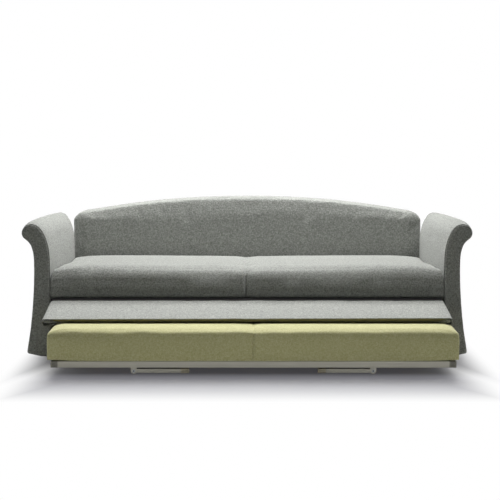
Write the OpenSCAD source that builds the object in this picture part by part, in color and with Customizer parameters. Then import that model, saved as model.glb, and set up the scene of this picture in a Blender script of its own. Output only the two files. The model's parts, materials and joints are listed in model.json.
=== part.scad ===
// Sofa bed: scroll arms, arched back, long seat mattress, hinged front flap and a pull-out second bed

/* [Sofa body] */
// Clear width between the two arms
inner_w = 2000; // [1800:10:2200]
// Depth of the seat, from the arms' front plane to the face of the back
seat_d = 780; // [740:5:800]
// Height of the top face of the seat rails
seat_rail_top = 307; // [300:1:330]
// Height of a seat rail
seat_rail_h = 55; // [40:1:58]
// Thickness of a seat rail
seat_rail_t = 25; // [20:1:30]
// How far the front seat rail stands behind the arms' front plane, so that the hanging flap is flush
seat_rail_recess = 16; // [16:1:30]
// Wall of the seat rail tube
seat_tube_wall = 2; // [1.5:0.5:3]
// Height of the arms and the back above the floor, on their glides
underside_z = 13; // [10:1:18]
// Radius of a glide
glide_r = 18; // [14:1:20]

/* [Arms] */
// Height of the crest of the scroll
arm_h = 689; // [660:1:730]
// Distance from the arm's inner face to the centre of its scroll
scroll_x = 85; // [80:1:92]
// Radius of the scroll's nose
scroll_r = 48; // [42:1:54]
// Height over which the inner face curves out to the crest
crest_rise = 174; // [150:1:190]
// Thickness of the arm at its waist
waist_w = 80; // [74:1:84]
// How far below the crest the neck under the scroll runs into the waist
neck_drop = 189; // [165:1:215]
// Width of the arm at its foot
foot_w = 125; // [112:1:135]
// Flat inner part of the foot, over the glides
foot_flat_w = 50; // [42:1:56]
// Rise of the foot's hem from its flat part to its outer edge
hem_rise = 17; // [10:1:22]
// Thickness of the foam and fabric wrapped round the frames
pad_t = 15; // [12:1:18]
// Thickness of the shaped boards at both ends of an arm
arm_board_t = 20; // [16:1:26]
// How far the arms reach past the face of the back
arm_lap = 10; // [5:1:20]
// Radius of the welt round the arm's front panel
welt_r = 3; // [2.5:0.5:4]

/* [Back] */
// Height of the back at its middle
back_h = 781; // [750:1:830]
// Drop of the arched top from its middle to the sides
arch_drop = 88; // [60:1:100]
// Radius of the back's upper corners
back_corner_r = 55; // [45:1:75]
// Gap between the back and each arm
back_side_gap = 4; // [2:1:8]
// Thickness of the front pad
back_pad_t = 60; // [50:1:70]
// Depth of the timber box frame
back_frame_d = 100; // [90:1:120]
// Thickness of the frame's timber
back_timber_t = 25; // [20:1:30]
// Thickness of the rear panel
back_panel_t = 10; // [8:1:14]

/* [Seat mattress] */
// Thickness at the crown
seat_mattress_t = 152; // [130:1:165]
// Height of the crown over the edges
seat_crown = 14; // [8:1:20]
// Radius of the upper edge
seat_edge_r = 42; // [30:1:50]
// How far the mattress stands out in front of the arms
seat_overhang = 12; // [6:1:16]
// Depth of the seam across the middle of its cover
seat_seam_depth = 7; // [3:1:10]

/* [Slats] */
// Width of a slat
slat_w = 68; // [55:1:75]
// Thickness of a slat
slat_t = 8; // [7:0.5:10]
// Distance between the middles of neighbouring slats
slat_pitch = 150; // [120:5:180]
// Rise of a sprung slat at its middle
slat_camber = 6; // [4:0.5:8]
// Depth of a slat holder, away from its rail
holder_d = 24; // [20:1:30]
// Height of a slat holder
holder_h = 20; // [18:1:22]

/* [Front flap] */
// Length of the flap from its hinge to its free edge
flap_l = 246; // [220:1:250]
// Thickness of the flap's board
flap_board_t = 16; // [12:1:18]
// Thickness of the fabric and its backing on the flap
flap_cover_t = 3; // [2:0.5:4]
// How far the board stops short of the fabric's open front hem
flap_board_recess = 9; // [4:1:14]
// Radius of the padded roll in each end of the flap
flap_roll_r = 5; // [4:0.5:5.5]
// Distance of the outer hinges from the middle
flap_hinge_x = 700; // [500:10:800]
// Length of one hinge
hinge_l = 60; // [50:1:80]
// Width of a hinge leaf
leaf_w = 34; // [28:1:38]
// Thickness of a hinge leaf
leaf_t = 2.5; // [2:0.5:3]
// Radius of a hinge knuckle
knuckle_r = 5; // [4.5:0.5:5.5]
// Radius of a hinge pin
hinge_pin_r = 2.5; // [2:0.25:3]

/* [Pull-out bed] */
// How far the pull-out bed stands out in front of the arms at rest
trundle_out = 390; // [300:5:400]
// Depth of the pull-out bed
trundle_d = 800; // [760:5:800]
// Sideways distance of the pull-out bed's middle from the sofa's middle
trundle_shift = 30; // [0:1:40]
// Gap between its mattress and the nearer arm
trundle_side_gap = 2; // [1:1:6]
// Thickness of its mattress at the crown
trundle_mattress_t = 152; // [130:1:155]
// Height of the crown over the edges
trundle_crown = 7; // [4:1:12]
// Radius of the mattress's upper edge
trundle_edge_r = 45; // [30:1:50]
// Depth of the seam across the middle of its cover
trundle_seam_depth = 5; // [2:1:8]
// How far the mattress stands proud of the chassis on every side
mattress_proud = 13; // [8:1:16]
// Height of a chassis rail
rail_h = 30; // [26:1:34]
// Depth of a chassis rail
rail_d = 25; // [24:1:30]
// Wall of the chassis tube
rail_wall = 2; // [1.5:0.5:2.5]
// Length of a corner block along the front rail
corner_w = 33; // [28:1:45]

/* [Folding legs] */
// Distance of a leg's pivot from the middle of the pull-out bed
leg_pivot_x = 564; // [450:2:600]
// Length of a leg from its pivot to the end of its foot
leg_l = 260; // [220:2:280]
// Side of the square leg tube
leg_tube = 18; // [16:1:19]
// Wall of the leg tube
leg_wall = 1.5; // [1:0.5:2]
// Length of a foot
foot_l = 38; // [30:1:45]
// Distance from the pivot to the middle of the cross bar
crossbar_x = 190; // [140:2:200]
// Thickness of a bracket's cheeks
cheek_t = 2; // [1.5:0.25:2.5]
// Thickness of the web that joins a bracket's cheeks
bracket_web_t = 1.5; // [1:0.25:1.5]
// Radius of a bracket's round lower end
bracket_r = 14.5; // [13:0.5:16]
// Distance of the pivot below the chassis rail
pivot_drop = 16.5; // [16:0.5:18]
// Radius of the tubular pivot pin
pivot_r = 5; // [4:0.5:5.5]
// Wall of the tubular pivot pin
pivot_wall = 1.5; // [1:0.25:2]

/* [Rollers] */
// Radius of a roller
roller_r = 20; // [18:0.5:22]
// Width of a roller
roller_w = 18; // [14:1:18]
// Distance of the front rollers behind the front of the chassis
roller_front_y = 230; // [200:5:300]
// Distance of the rear rollers in front of the rear of the chassis
roller_rear_y = 90; // [70:5:150]
// Radius of a roller's axle
axle_r = 4; // [3:0.5:4.5]
// Length of a roller fork along its rail
fork_l = 40; // [36:1:50]

/* [Fasteners] */
// Radius of the bolts' shank
bolt_r = 4; // [3:0.5:5]
// Width of a bolt's hexagon across its corners
bolt_head_w = 15; // [12:0.5:17]
// Thickness of a bolt's head
bolt_head_t = 5.3; // [4:0.1:6]
// Length of thread in the timber
bolt_grip = 22; // [16:1:26]

/* [Hidden] */

// Colours
fabric_grey = "#8d908d";
fabric_green = "#c3c28a";
timber = "#cdb083";
steel = "#b5b3aa";
dark_steel = "#5d5b57";
zinc = "#a9adb0";
black_plastic = "#33322f";

// Clearances and the overrun of every cut
fit = 0.3;
pin_fit = 0.08;
slip = 0.2;
over = 1;

// Smoothness of round parts
$fn = 48;

// Places worked out from the sizes above, all measured from the arms' front plane
half_w = inner_w / 2;
arm_d = seat_d + arm_lap;
back_half_w = half_w - back_side_gap;
back_frame_y = seat_d + back_pad_t;
back_panel_y = back_frame_y + back_frame_d;
back_rear_y = back_panel_y + back_panel_t;
rear_rail_back_y = back_frame_y - back_panel_t - fit;
rear_rail_y = rear_rail_back_y - seat_rail_t;
seat_rail_bottom = seat_rail_top - seat_rail_h;
slat_inset = 12;

// Heights of the pull-out bed
fork_t = cheek_t;
roller_top_gap = 7.5;
chassis_z = 2 * roller_r + roller_top_gap + fork_t;
rail_top = chassis_z + rail_h;
trundle_mattress_z = rail_top + fit;
trundle_top = trundle_mattress_z + trundle_mattress_t;

// Width and ends of the pull-out bed
trundle_half_w = half_w - trundle_shift - trundle_side_gap;
chassis_half_w = trundle_half_w - mattress_proud;
trundle_y0 = -trundle_out;
trundle_y1 = trundle_y0 + trundle_d;
pivot_z = chassis_z - pivot_drop;
front_leg_y = trundle_y0 + rail_d / 2;
rear_leg_y = trundle_y1 - rail_d / 2;

// The flap's hinge line, and the slope at which its free edge lies on the pulled-out mattress
flap_rear = 2 * knuckle_r;
flap_under = flap_board_t + flap_cover_t;
flap_axis_y = seat_rail_recess - norm([flap_rear, flap_under]) - fit;
flap_axis_z = seat_rail_top - leaf_t + leaf_t / 5;
flap_fall = flap_axis_z - trundle_top - fit;
flap_reach = norm([flap_l, flap_under]);
flap_angle = asin(flap_fall / flap_reach) - atan(flap_under / flap_l);
flap_half_w = half_w - back_side_gap;

// The brackets' cheeks, and the flanges of the pivot pins outside them
cheek_gap = leg_tube + 2 * pin_fit + 2 * slip;
cheek_out = cheek_gap / 2 + cheek_t;
flange_t = 1.2;
flange_r = pivot_r + 3 * pivot_wall / 2;

// Middle of the whole part from front to back
front_y = min(trundle_y0, front_leg_y - cheek_out - flange_t);
mid_y = (front_y + back_rear_y) / 2;

// Frames in which the parts are drawn

// Moves a shape from the arms' front plane to the part's own origin
module placed() {
    translate([0, -mid_y, 0])
        children();
}

// Extrudes an outline of X and Z backwards from y0 to y1
module upright(y0, y1) {
    translate([0, y1, 0])
        rotate([90, 0, 0])
            linear_extrude(y1 - y0)
                children();
}

// Extrudes an outline of Y and Z sideways from x0 to x1
module sideways(x0, x1) {
    translate([x0, 0, 0])
        rotate([90, 0, 90])
            linear_extrude(x1 - x0)
                children();
}

// A block between two corners
module block(low, high) {
    translate(low)
        cube(high - low);
}

// A round rod or hole of radius r along Y
module rod_y(r, x, z, y0, y1) {
    translate([x, y0, z])
        rotate([-90, 0, 0])
            cylinder(r = r, h = y1 - y0);
}

// A round rod or hole of radius r along X
module rod_x(r, y, z, x0, x1) {
    translate([x0, y, z])
        rotate([0, 90, 0])
            cylinder(r = r, h = x1 - x0);
}

// Puts a shape drawn for the right arm at the right, or mirrored at the left
module at_right_arm() {
    placed()
        translate([half_w, 0, 0])
            children();
}

module at_left_arm() {
    placed()
        mirror([1, 0, 0])
            translate([half_w, 0, 0])
                children();
}

// Moves a shape drawn about the pull-out bed's middle
module on_trundle() {
    placed()
        translate([trundle_shift, 0, 0])
            children();
}

// The flap's frame: origin on the hinge line, its free edge towards -Y, its top face up
module on_flap() {
    placed()
        translate([0, flap_axis_y, flap_axis_z])
            rotate([flap_angle, 0, 0])
                children();
}

// Curves and soft forms

function bend(p0, p1, p2, t) = (1 - t) * (1 - t) * p0 + 2 * t * (1 - t) * p1 + t * t * p2;

function unit(v) = v / norm(v);

// Inward normal of the stretch from a to b on an outline that runs clockwise
function inward(a, b) = let (d = unit(b - a)) [d[1], -d[0]];

// Moves a clockwise outline inwards by a distance
function inset_outline(p, distance) = [
    for (k = [0 : len(p) - 1])
        let (
            n0 = inward(p[(k + len(p) - 1) % len(p)], p[k]),
            n1 = inward(p[k], p[(k + 1) % len(p)])
        )
        p[k] + distance * (n0 + n1) / (1 + n0 * n1)
];

function middle(ring) = [for (a = [0 : 2]) [for (p = ring) p[a]] * [for (p = ring) 1 / len(ring)]];

// A closed form through rings of equally many points, capped at both ends
module loft(rings) {
    sides = len(rings[0]);
    last = len(rings) - 1;
    start_cap = sides * len(rings);
    points = [for (r = rings) each r, middle(rings[0]), middle(rings[last])];
    skin = [
        for (k = [0 : last - 1], s = [0 : sides - 1])
            let (a = k * sides + s, b = k * sides + (s + 1) % sides)
            each [[a, a + sides, b + sides], [a, b + sides, b]]
    ];
    caps = [
        for (s = [0 : sides - 1])
            let (t = (s + 1) % sides)
            each [[start_cap, s, t], [start_cap + 1, last * sides + t, last * sides + s]]
    ];
    polyhedron(points, concat(skin, caps), convexity = 6);
}

// Shares of half the length at which a mattress's long sides have points, with the middle seam
border_shares = [-0.95, -0.6, -0.3, 0, 0.3, 0.6, 0.95];

// Outline of a mattress in X and Y, with extra points either side of its middle
function mattress_outline(hw, hd, r, seam_w) = let (
    long_side = [-hw + r, hw * border_shares[1], hw * border_shares[2], -seam_w, 0, seam_w,
                 hw * border_shares[4], hw * border_shares[5], hw - r],
    corner = [for (a = [15 : 15 : 75]) a]
) concat(
    [for (x = long_side) [x, -hd]],
    [for (a = corner) [hw - r + r * sin(a), -hd + r - r * cos(a)]],
    [[hw, -hd + r], [hw, 0], [hw, hd - r]],
    [for (a = corner) [hw - r + r * cos(a), hd - r + r * sin(a)]],
    [for (k = [len(long_side) - 1 : -1 : 0]) [long_side[k], hd]],
    [for (a = corner) [-hw + r - r * sin(a), hd - r + r * cos(a)]],
    [[-hw, hd - r], [-hw, 0], [-hw, -hd + r]],
    [for (a = corner) [-hw + r - r * cos(a), -hd + r - r * sin(a)]]
);

// Rings of a mattress from its flat base, up the bulging border, to its crown: [inset, height]
function mattress_levels(t, crown, edge_r, base_r, bulge, crown_run) = let (
    t_edge = t - crown,
    wall = t_edge - edge_r - base_r
) concat(
    [[base_r + crown_run, 0]],
    [for (a = [0 : 30 : 90]) [base_r * (1 - sin(a)), base_r * (1 - cos(a))]],
    [for (s = [0.35, 0.7]) [-bulge * sin(180 * s), base_r + wall * s]],
    [for (a = [0 : 22.5 : 90]) [edge_r * (1 - cos(a)), t_edge - edge_r + edge_r * sin(a)]],
    [for (s = [0.35, 0.7, 1]) [edge_r + crown_run * s, t_edge + crown * sin(90 * s)]]
);

// A mattress over the box w by d, its base at the origin; a seam across its middle draws the cover in
module mattress(w, d, t, crown, edge_r, base_r, bulge, crown_run, corner_r, seam_depth, seam_w) {
    hw = w / 2 - bulge;
    hd = d / 2 - bulge;
    loft([
        for (level = mattress_levels(t, crown, edge_r, base_r, bulge, crown_run))
            let (r = max(corner_r - level[0], corner_r / 4))
            [
                for (p = mattress_outline(hw - level[0], hd - level[0], r, seam_w))
                    let (
                        seam = p[0] == 0 && level[1] > 0 ? seam_depth : 0,
                        in = level[0] < edge_r ? seam * sign(p[1]) : 0,
                        down = level[0] > 0 ? seam * level[1] / t : 0
                    )
                    [p[0], p[1] - in, level[1] - down]
            ]
    ]);
}

// Arms

// Share of the waist's height at which the outer face begins to flare
flare_knee_share = 0.6;
// Angle at which the nose of the scroll ends
nose_end = -50;

// Outline of the right arm in X and Z, clockwise from the inner bottom corner, X from its inner face
function arm_outline() = let (
    crest_z0 = arm_h - crest_rise,
    scroll_z = arm_h - scroll_r,
    nose = [scroll_x + scroll_r * cos(nose_end), scroll_z + scroll_r * sin(nose_end)],
    neck = [waist_w, nose[1] + (nose[0] - waist_w) * cos(nose_end) / sin(nose_end)],
    waist = [waist_w, arm_h - neck_drop],
    knee = [waist_w, (arm_h - neck_drop) * flare_knee_share],
    hem = [foot_w, underside_z + hem_rise]
) concat(
    [[0, underside_z], [0, crest_z0]],
    [for (a = [12 : 12 : 78]) [scroll_x * (1 - cos(a)), crest_z0 + crest_rise * sin(a)]],
    [for (a = [90 : -14 : nose_end]) [scroll_x + scroll_r * cos(a), scroll_z + scroll_r * sin(a)]],
    [for (t = [0.2 : 0.2 : 0.99]) bend(nose, neck, waist, t)],
    [for (t = [0 : 0.125 : 1]) bend(waist, knee, hem, t)],
    [[foot_flat_w, underside_z]]
);

mount_z = seat_rail_top - seat_rail_h / 2;
mount_batten_h = 50;
batten_w = 30;
// Room between the round rod in the scroll and the wrap over it
rod_play = 3;
arm_bolt_share = [0.15, 0.8];

// Shaped end boards joined by battens: one at the foot, one that takes the bolts, one in the scroll
module arm_frame() {
    board = inset_outline(arm_outline(), pad_t);
    y0 = pad_t;
    y1 = arm_d - pad_t;
    batten_y0 = y0 + arm_board_t;
    batten_y1 = y1 - arm_board_t;
    foot_z = underside_z + pad_t;
    upright(y0, batten_y0)
        polygon(board);
    upright(batten_y1, y1)
        polygon(board);
    block([pad_t, batten_y0, foot_z], [pad_t + batten_w, batten_y1, foot_z + mount_batten_h]);
    difference() {
        block([pad_t, batten_y0, mount_z - mount_batten_h / 2],
              [pad_t + batten_w, batten_y1, mount_z + mount_batten_h / 2]);
        arm_bolt_holes(bolt_r + pin_fit);
    }
    rod_y(scroll_r - pad_t - rod_play, scroll_x, arm_h - scroll_r, batten_y0, batten_y1);
}

// The holes for an arm's bolts, from the seat rail into the frame's batten
module arm_bolt_holes(r) {
    for (share = arm_bolt_share)
        rod_x(r, arm_d * share, mount_z, -seat_rail_t - over, pad_t + bolt_grip + fit);
}

// Foam and fabric round the arm, from the front panel to the rear panel
module arm_wrap() {
    difference() {
        upright(pad_t, arm_d - pad_t)
            difference() {
                polygon(arm_outline());
                polygon(inset_outline(arm_outline(), pad_t));
            }
        arm_bolt_holes(bolt_r + slip);
    }
}

module arm_front_panel() {
    upright(0, pad_t)
        polygon(arm_outline());
}

module arm_rear_panel() {
    upright(arm_d - pad_t, arm_d)
        polygon(arm_outline());
}

// The welt runs round the front panel, from one end of the foot to the other
module arm_welt() {
    path = inset_outline(arm_outline(), welt_r);
    sides = 6;
    count = len(path) - 1;
    y = -welt_r - fit;
    loft([
        for (k = [0 : count - 1])
            let (
                before = path[max(k - 1, 0)],
                after = path[min(k + 1, count - 1)],
                n = inward(before, after)
            )
            [
                for (s = [0 : sides - 1])
                    let (a = 360 * s / sides)
                    [path[k][0] + welt_r * cos(a) * n[0], y + welt_r * sin(a),
                     path[k][1] + welt_r * cos(a) * n[1]]
            ]
    ]);
}

module left_arm_frame() {
    color(timber)
        at_left_arm()
            arm_frame();
}

module left_arm_wrap() {
    color(fabric_grey)
        at_left_arm()
            arm_wrap();
}

module left_arm_front_panel() {
    color(fabric_grey)
        at_left_arm()
            arm_front_panel();
}

module left_arm_rear_panel() {
    color(fabric_grey)
        at_left_arm()
            arm_rear_panel();
}

module left_arm_welt() {
    color(fabric_grey)
        at_left_arm()
            arm_welt();
}

module right_arm_frame() {
    color(timber)
        at_right_arm()
            arm_frame();
}

module right_arm_wrap() {
    color(fabric_grey)
        at_right_arm()
            arm_wrap();
}

module right_arm_front_panel() {
    color(fabric_grey)
        at_right_arm()
            arm_front_panel();
}

module right_arm_rear_panel() {
    color(fabric_grey)
        at_right_arm()
            arm_rear_panel();
}

module right_arm_welt() {
    color(fabric_grey)
        at_right_arm()
            arm_welt();
}

// A turned plastic glide, standing on the floor
module glide() {
    rotate_extrude()
        polygon([
            [0, 0], [glide_r * 0.9, 0], [glide_r, underside_z * 0.15], [glide_r, underside_z * 0.55],
            [glide_r * 0.7, underside_z], [0, underside_z]
        ]);
}

arm_glide_share = [0.08, 0.92];

module arm_glides() {
    color(black_plastic)
        placed()
            for (side = [-1, 1], share = arm_glide_share)
                translate([side * (half_w + foot_flat_w / 2), arm_d * share, 0])
                    glide();
}

// A hexagon bolt, its shank along +Z and its head under the origin
module bolt(length) {
    cylinder(r = bolt_r, h = length);
    translate([0, 0, -bolt_head_t])
        cylinder(d = bolt_head_w, h = bolt_head_t, $fn = 6);
}

// Bolts through the seat's side rails into the arms
module arm_bolts() {
    color(zinc)
        for (share = arm_bolt_share) {
            at_right_arm()
                translate([-seat_rail_t - fit, arm_d * share, mount_z])
                    rotate([0, 90, 0])
                        bolt(seat_rail_t + fit + pad_t + bolt_grip);
            at_left_arm()
                translate([-seat_rail_t - fit, arm_d * share, mount_z])
                    rotate([0, 90, 0])
                        bolt(seat_rail_t + fit + pad_t + bolt_grip);
        }
}

// Back

// Radius of the arch through the middle of the top and the sides at their drop
arch_r = (back_half_w * back_half_w + arch_drop * arch_drop) / (2 * arch_drop);

// Outline of the back in X and Z, moved inwards, clockwise from its lower left corner
function back_outline(inset, bottom) = let (
    hw = back_half_w - inset,
    big = arch_r - inset,
    r = max(back_corner_r - inset, back_corner_r / 6),
    zc = back_h - arch_r,
    corner_x = hw - r,
    corner_z = zc + sqrt((big - r) * (big - r) - corner_x * corner_x),
    lean = atan2(corner_z - zc, corner_x),
    right = concat(
        [for (k = [0 : 10]) let (a = 90 - (90 - lean) * k / 10) [big * cos(a), zc + big * sin(a)]],
        [for (k = [1 : 5]) let (a = lean * (1 - k / 5)) [corner_x + r * cos(a), corner_z + r * sin(a)]],
        [[hw, bottom]]
    ),
    left = [for (k = [len(right) - 1 : -1 : 1]) [-right[k][0], right[k][1]]]
) concat(left, right);

back_bolt_x = 400;

// Box frame of timber boards: an arched ring, two inner posts, a seat-height rail for the bolts
module back_frame() {
    y0 = back_frame_y;
    y1 = back_panel_y;
    ring_bottom = underside_z + pad_t;
    post_x = back_half_w / 3;
    difference() {
        union() {
            upright(y0, y1)
                difference() {
                    polygon(back_outline(pad_t, ring_bottom));
                    polygon(back_outline(pad_t + back_timber_t, ring_bottom + back_timber_t));
                }
            upright(y0, y1)
                intersection() {
                    polygon(back_outline(pad_t + back_timber_t, ring_bottom + back_timber_t));
                    union() {
                        for (side = [-1, 1])
                            translate([side * post_x - back_timber_t / 2, 0])
                                square([back_timber_t, back_h]);
                        translate([-back_half_w, mount_z - mount_batten_h / 2])
                            square([2 * back_half_w, mount_batten_h]);
                    }
                }
        }
        back_bolt_holes(bolt_r + pin_fit);
    }
}

// The holes for the back's bolts, from the rear seat rail into the back's frame
module back_bolt_holes(r) {
    for (side = [-1, 1])
        rod_y(r, side * back_bolt_x, mount_z, rear_rail_y - over, back_frame_y + bolt_grip + fit);
}

// Foam and fabric over the frame's edges
module back_band_ring() {
    upright(back_frame_y, back_panel_y)
        difference() {
            polygon(back_outline(0, underside_z));
            polygon(back_outline(pad_t, underside_z + pad_t));
        }
}

pad_edge_r = 22;
pad_crown = 10;
pad_crown_run = 120;
pad_draw = 4;

// The upholstered front of the back: drawn in at its seam with the band, crowned in the middle
module back_pad() {
    bottom = seat_rail_top + fit;
    face = back_pad_t - pad_crown;
    levels = concat(
        [[pad_draw / 2, 0], [pad_draw / 4, back_pad_t * 0.15], [0, back_pad_t * 0.35]],
        [for (a = [0 : 22.5 : 90]) [pad_edge_r * (1 - cos(a)), face - pad_edge_r * (1 - sin(a))]],
        [for (s = [0.35, 0.7, 1]) [pad_edge_r + pad_crown_run * s, face + pad_crown * sin(90 * s)]]
    );
    loft([
        for (level = levels)
            [for (p = back_outline(level[0], bottom + level[0])) [p[0], back_frame_y - level[1], p[1]]]
    ]);
}

module back_frame_part() {
    color(timber)
        placed()
            back_frame();
}

module back_band() {
    color(fabric_grey)
        placed()
            back_band_ring();
}

module back_front_pad() {
    color(fabric_grey)
        placed()
            back_pad();
}

// Covered board that closes the back below the seat
module back_lower_panel() {
    color(fabric_grey)
        placed()
            difference() {
                block([-back_half_w, back_frame_y - back_panel_t, underside_z],
                      [back_half_w, back_frame_y, seat_rail_top]);
                back_bolt_holes(bolt_r + slip);
            }
}

module back_rear_panel() {
    color(fabric_grey)
        placed()
            upright(back_panel_y, back_rear_y)
                polygon(back_outline(0, underside_z));
}

module back_glides() {
    color(black_plastic)
        placed()
            for (side = [-1, 1])
                translate([side * (back_half_w - 3 * glide_r), back_frame_y + back_frame_d / 2, 0])
                    glide();
}

// Bolts through the rear seat rail into the back
module back_bolts() {
    color(zinc)
        placed()
            for (side = [-1, 1])
                translate([side * back_bolt_x, rear_rail_y, mount_z])
                    rotate([-90, 0, 0])
                        bolt(back_frame_y - rear_rail_y + bolt_grip);
}

// Seat frame

// A rectangular tube between two corners, hollow along X or along Y
module tube_x(low, high, wall) {
    difference() {
        block(low, high);
        block(low + [-over, wall, wall], high - [-over, wall, wall]);
    }
}

module tube_y(low, high, wall) {
    difference() {
        block(low, high);
        block(low + [wall, -over, wall], high - [wall, -over, wall]);
    }
}

front_rail_y = seat_rail_recess;
front_rail_back_y = front_rail_y + seat_rail_t;
side_rail_x = half_w - fit;

// Front rail, let in on top for the hinge leaves
module seat_front_rail() {
    color(dark_steel)
        placed()
            difference() {
                tube_x([-side_rail_x, front_rail_y, seat_rail_bottom],
                       [side_rail_x, front_rail_back_y, seat_rail_top], leaf_t + seat_tube_wall);
                for (x = [-1, 0, 1])
                    translate([x * flap_hinge_x - hinge_l / 2 - fit, front_rail_y - over,
                               seat_rail_top - leaf_t])
                        cube([hinge_l + 2 * fit, leaf_w + over, leaf_t + over]);
            }
}

module seat_rear_rail() {
    color(dark_steel)
        placed()
            difference() {
                tube_x([-side_rail_x, rear_rail_y, seat_rail_bottom],
                       [side_rail_x, rear_rail_back_y, seat_rail_top], seat_tube_wall);
                back_bolt_holes(bolt_r + pin_fit);
            }
}

module seat_side_rails() {
    color(dark_steel) {
        at_right_arm()
            seat_side_rail();
        at_left_arm()
            seat_side_rail();
    }
}

module seat_side_rail() {
    difference() {
        tube_y([-fit - seat_rail_t, front_rail_back_y, seat_rail_bottom],
               [-fit, rear_rail_y, seat_rail_top], seat_tube_wall);
        arm_bolt_holes(bolt_r + pin_fit);
    }
}

// Slats

// How many slats fit, and where their middles lie, between two ends half_span either side of zero
function slat_places(half_span) = let (count = floor((half_span - slat_w / 2 - slat_inset) / slat_pitch))
    [for (k = [-count : count]) k * slat_pitch];

// Height of a slat's upper face at its ends, under a mattress that lies at height top
function slat_end_top(top) = top - slat_camber;

// A sprung slat along Y: an arc of laminated wood, highest in its middle
module slat(y0, y1, top) {
    steps = 12;
    rise = [for (k = [0 : steps]) slat_camber * sin(180 * k / steps)];
    z = slat_end_top(top);
    sideways(-slat_w / 2, slat_w / 2)
        polygon(concat(
            [for (k = [0 : steps]) [y0 + (y1 - y0) * k / steps, z + rise[k]]],
            [for (k = [steps : -1 : 0]) [y0 + (y1 - y0) * k / steps, z + rise[k] - slat_t]]
        ));
}

holder_wall = 3;

// A plastic pocket that holds a slat's end: its back on a rail at y = 0, its mouth towards +Y
module slat_holder(top) {
    hw = slat_w / 2 + holder_wall;
    z = slat_end_top(top);
    rise = slat_camber * sin(180 * holder_d / (trundle_d - 2 * rail_d));
    difference() {
        block([-hw, 0, top - holder_h], [hw, holder_d, top]);
        block([-slat_w / 2 - slip, holder_wall, z - slat_t - slip],
              [slat_w / 2 + slip, holder_d + over, z + rise + slip]);
    }
}

// Slats and holders of a frame whose inner faces are at y0 and y1
module slat_row(half_span, y0, y1, top) {
    for (x = slat_places(half_span))
        translate([x, 0, 0])
            slat(y0 + holder_wall + slip, y1 - holder_wall - slip, top);
}

module holder_rows(half_span, y0, y1, top) {
    for (x = slat_places(half_span)) {
        translate([x, y0, 0])
            slat_holder(top);
        translate([x, y1, 0])
            rotate([0, 0, 180])
                slat_holder(top);
    }
}

module seat_slats() {
    color(timber)
        placed()
            slat_row(side_rail_x - seat_rail_t, front_rail_back_y, rear_rail_y, seat_rail_top);
}

module seat_slat_holders() {
    color(black_plastic)
        placed()
            holder_rows(side_rail_x - seat_rail_t, front_rail_back_y, rear_rail_y, seat_rail_top);
}

// How far a mattress's border swells out over its flat base
mattress_bulge = 8;
// Radius of its lower edge, and of its corners seen from above
mattress_base_r = 22;
mattress_corner_r = 50;
// Half the width over which the middle seam draws the cover in
seam_w = 30;

// The long seat mattress, one piece in a cover seamed across the middle
module seat_mattress() {
    d = seat_d + seat_overhang - fit;
    color(fabric_grey)
        placed()
            translate([0, d / 2 - seat_overhang, seat_rail_top + fit])
                mattress(2 * (half_w - trundle_side_gap), d, seat_mattress_t, seat_crown, seat_edge_r,
                         mattress_base_r, mattress_bulge, seat_edge_r * 4, mattress_corner_r,
                         seat_seam_depth, seam_w);
}

// Front flap and its hinges

function hinge_places() = [-flap_hinge_x, 0, flap_hinge_x];

knuckle_share = 0.4;
knuckle_gap = 0.5;
moving_l = hinge_l * knuckle_share;
fixed_l = (hinge_l - moving_l) / 2 - knuckle_gap;
neck_y = hinge_pin_r + pin_fit + (knuckle_r - hinge_pin_r) / 2;

// A knuckle along X with its bore, and the web that joins it to a leaf from z0 up to z0 + leaf_t
module knuckle(x, length, z0) {
    difference() {
        union() {
            rod_x(knuckle_r, 0, 0, x, x + length);
            block([x, neck_y, z0], [x + length, knuckle_r + over, z0 + leaf_t]);
        }
        rod_x(hinge_pin_r + pin_fit, 0, 0, x - over, x + length + over);
    }
}

// Height of the fixed leaf's underside against the hinge line
fixed_leaf_z = seat_rail_top - leaf_t - flap_axis_z;

// A fixed leaf lies on the seat rail, with a knuckle at both ends of the hinge
module fixed_leaf() {
    knuckle(-hinge_l / 2, fixed_l, fixed_leaf_z);
    knuckle(hinge_l / 2 - fixed_l, fixed_l, fixed_leaf_z);
    block([-hinge_l / 2, knuckle_r + over, fixed_leaf_z],
          [hinge_l / 2, front_rail_back_y - flap_axis_y, fixed_leaf_z + leaf_t]);
}

// A moving leaf is let into the flap's board, with one knuckle in the middle
module moving_leaf() {
    rotate([0, 0, 180]) {
        knuckle(-moving_l / 2, moving_l, -leaf_t);
        block([-hinge_l / 2, knuckle_r + over, -leaf_t], [hinge_l / 2, flap_rear + leaf_w, 0]);
    }
}

module flap_hinge_fixed_leaves() {
    color(zinc)
        placed()
            for (x = hinge_places())
                translate([x, flap_axis_y, flap_axis_z])
                    fixed_leaf();
}

module flap_hinge_pins() {
    color(zinc)
        placed()
            for (x = hinge_places())
                rod_x(hinge_pin_r, flap_axis_y, flap_axis_z, x - hinge_l / 2, x + hinge_l / 2);
}

module flap_hinge_moving_leaves() {
    color(zinc)
        on_flap()
            for (x = hinge_places())
                translate([x, 0, 0])
                    moving_leaf();
}

flap_roll_x = flap_half_w - flap_cover_t - flap_roll_r - fit;
flap_board_half_w = flap_roll_x - flap_roll_r - fit;

// The flap's board, let in on top for the leaves
module flap_board() {
    color(timber)
        on_flap()
            difference() {
                block([-flap_board_half_w, -flap_l + flap_board_recess, -flap_board_t],
                      [flap_board_half_w, -flap_rear, 0]);
                for (x = hinge_places())
                    block([x - hinge_l / 2 - fit, -flap_rear - leaf_w - fit, -leaf_t],
                          [x + hinge_l / 2 + fit, -flap_rear + over, over]);
            }
}

// A flat oval of X and Z, its round ends half its height
module flat_oval(half_width, low, high) {
    r = (high - low) / 2;
    translate([-half_width + r, low])
        square([2 * (half_width - r), 2 * r]);
    for (side = [-1, 1])
        translate([side * (half_width - r), low + r])
            circle(r);
}

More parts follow.
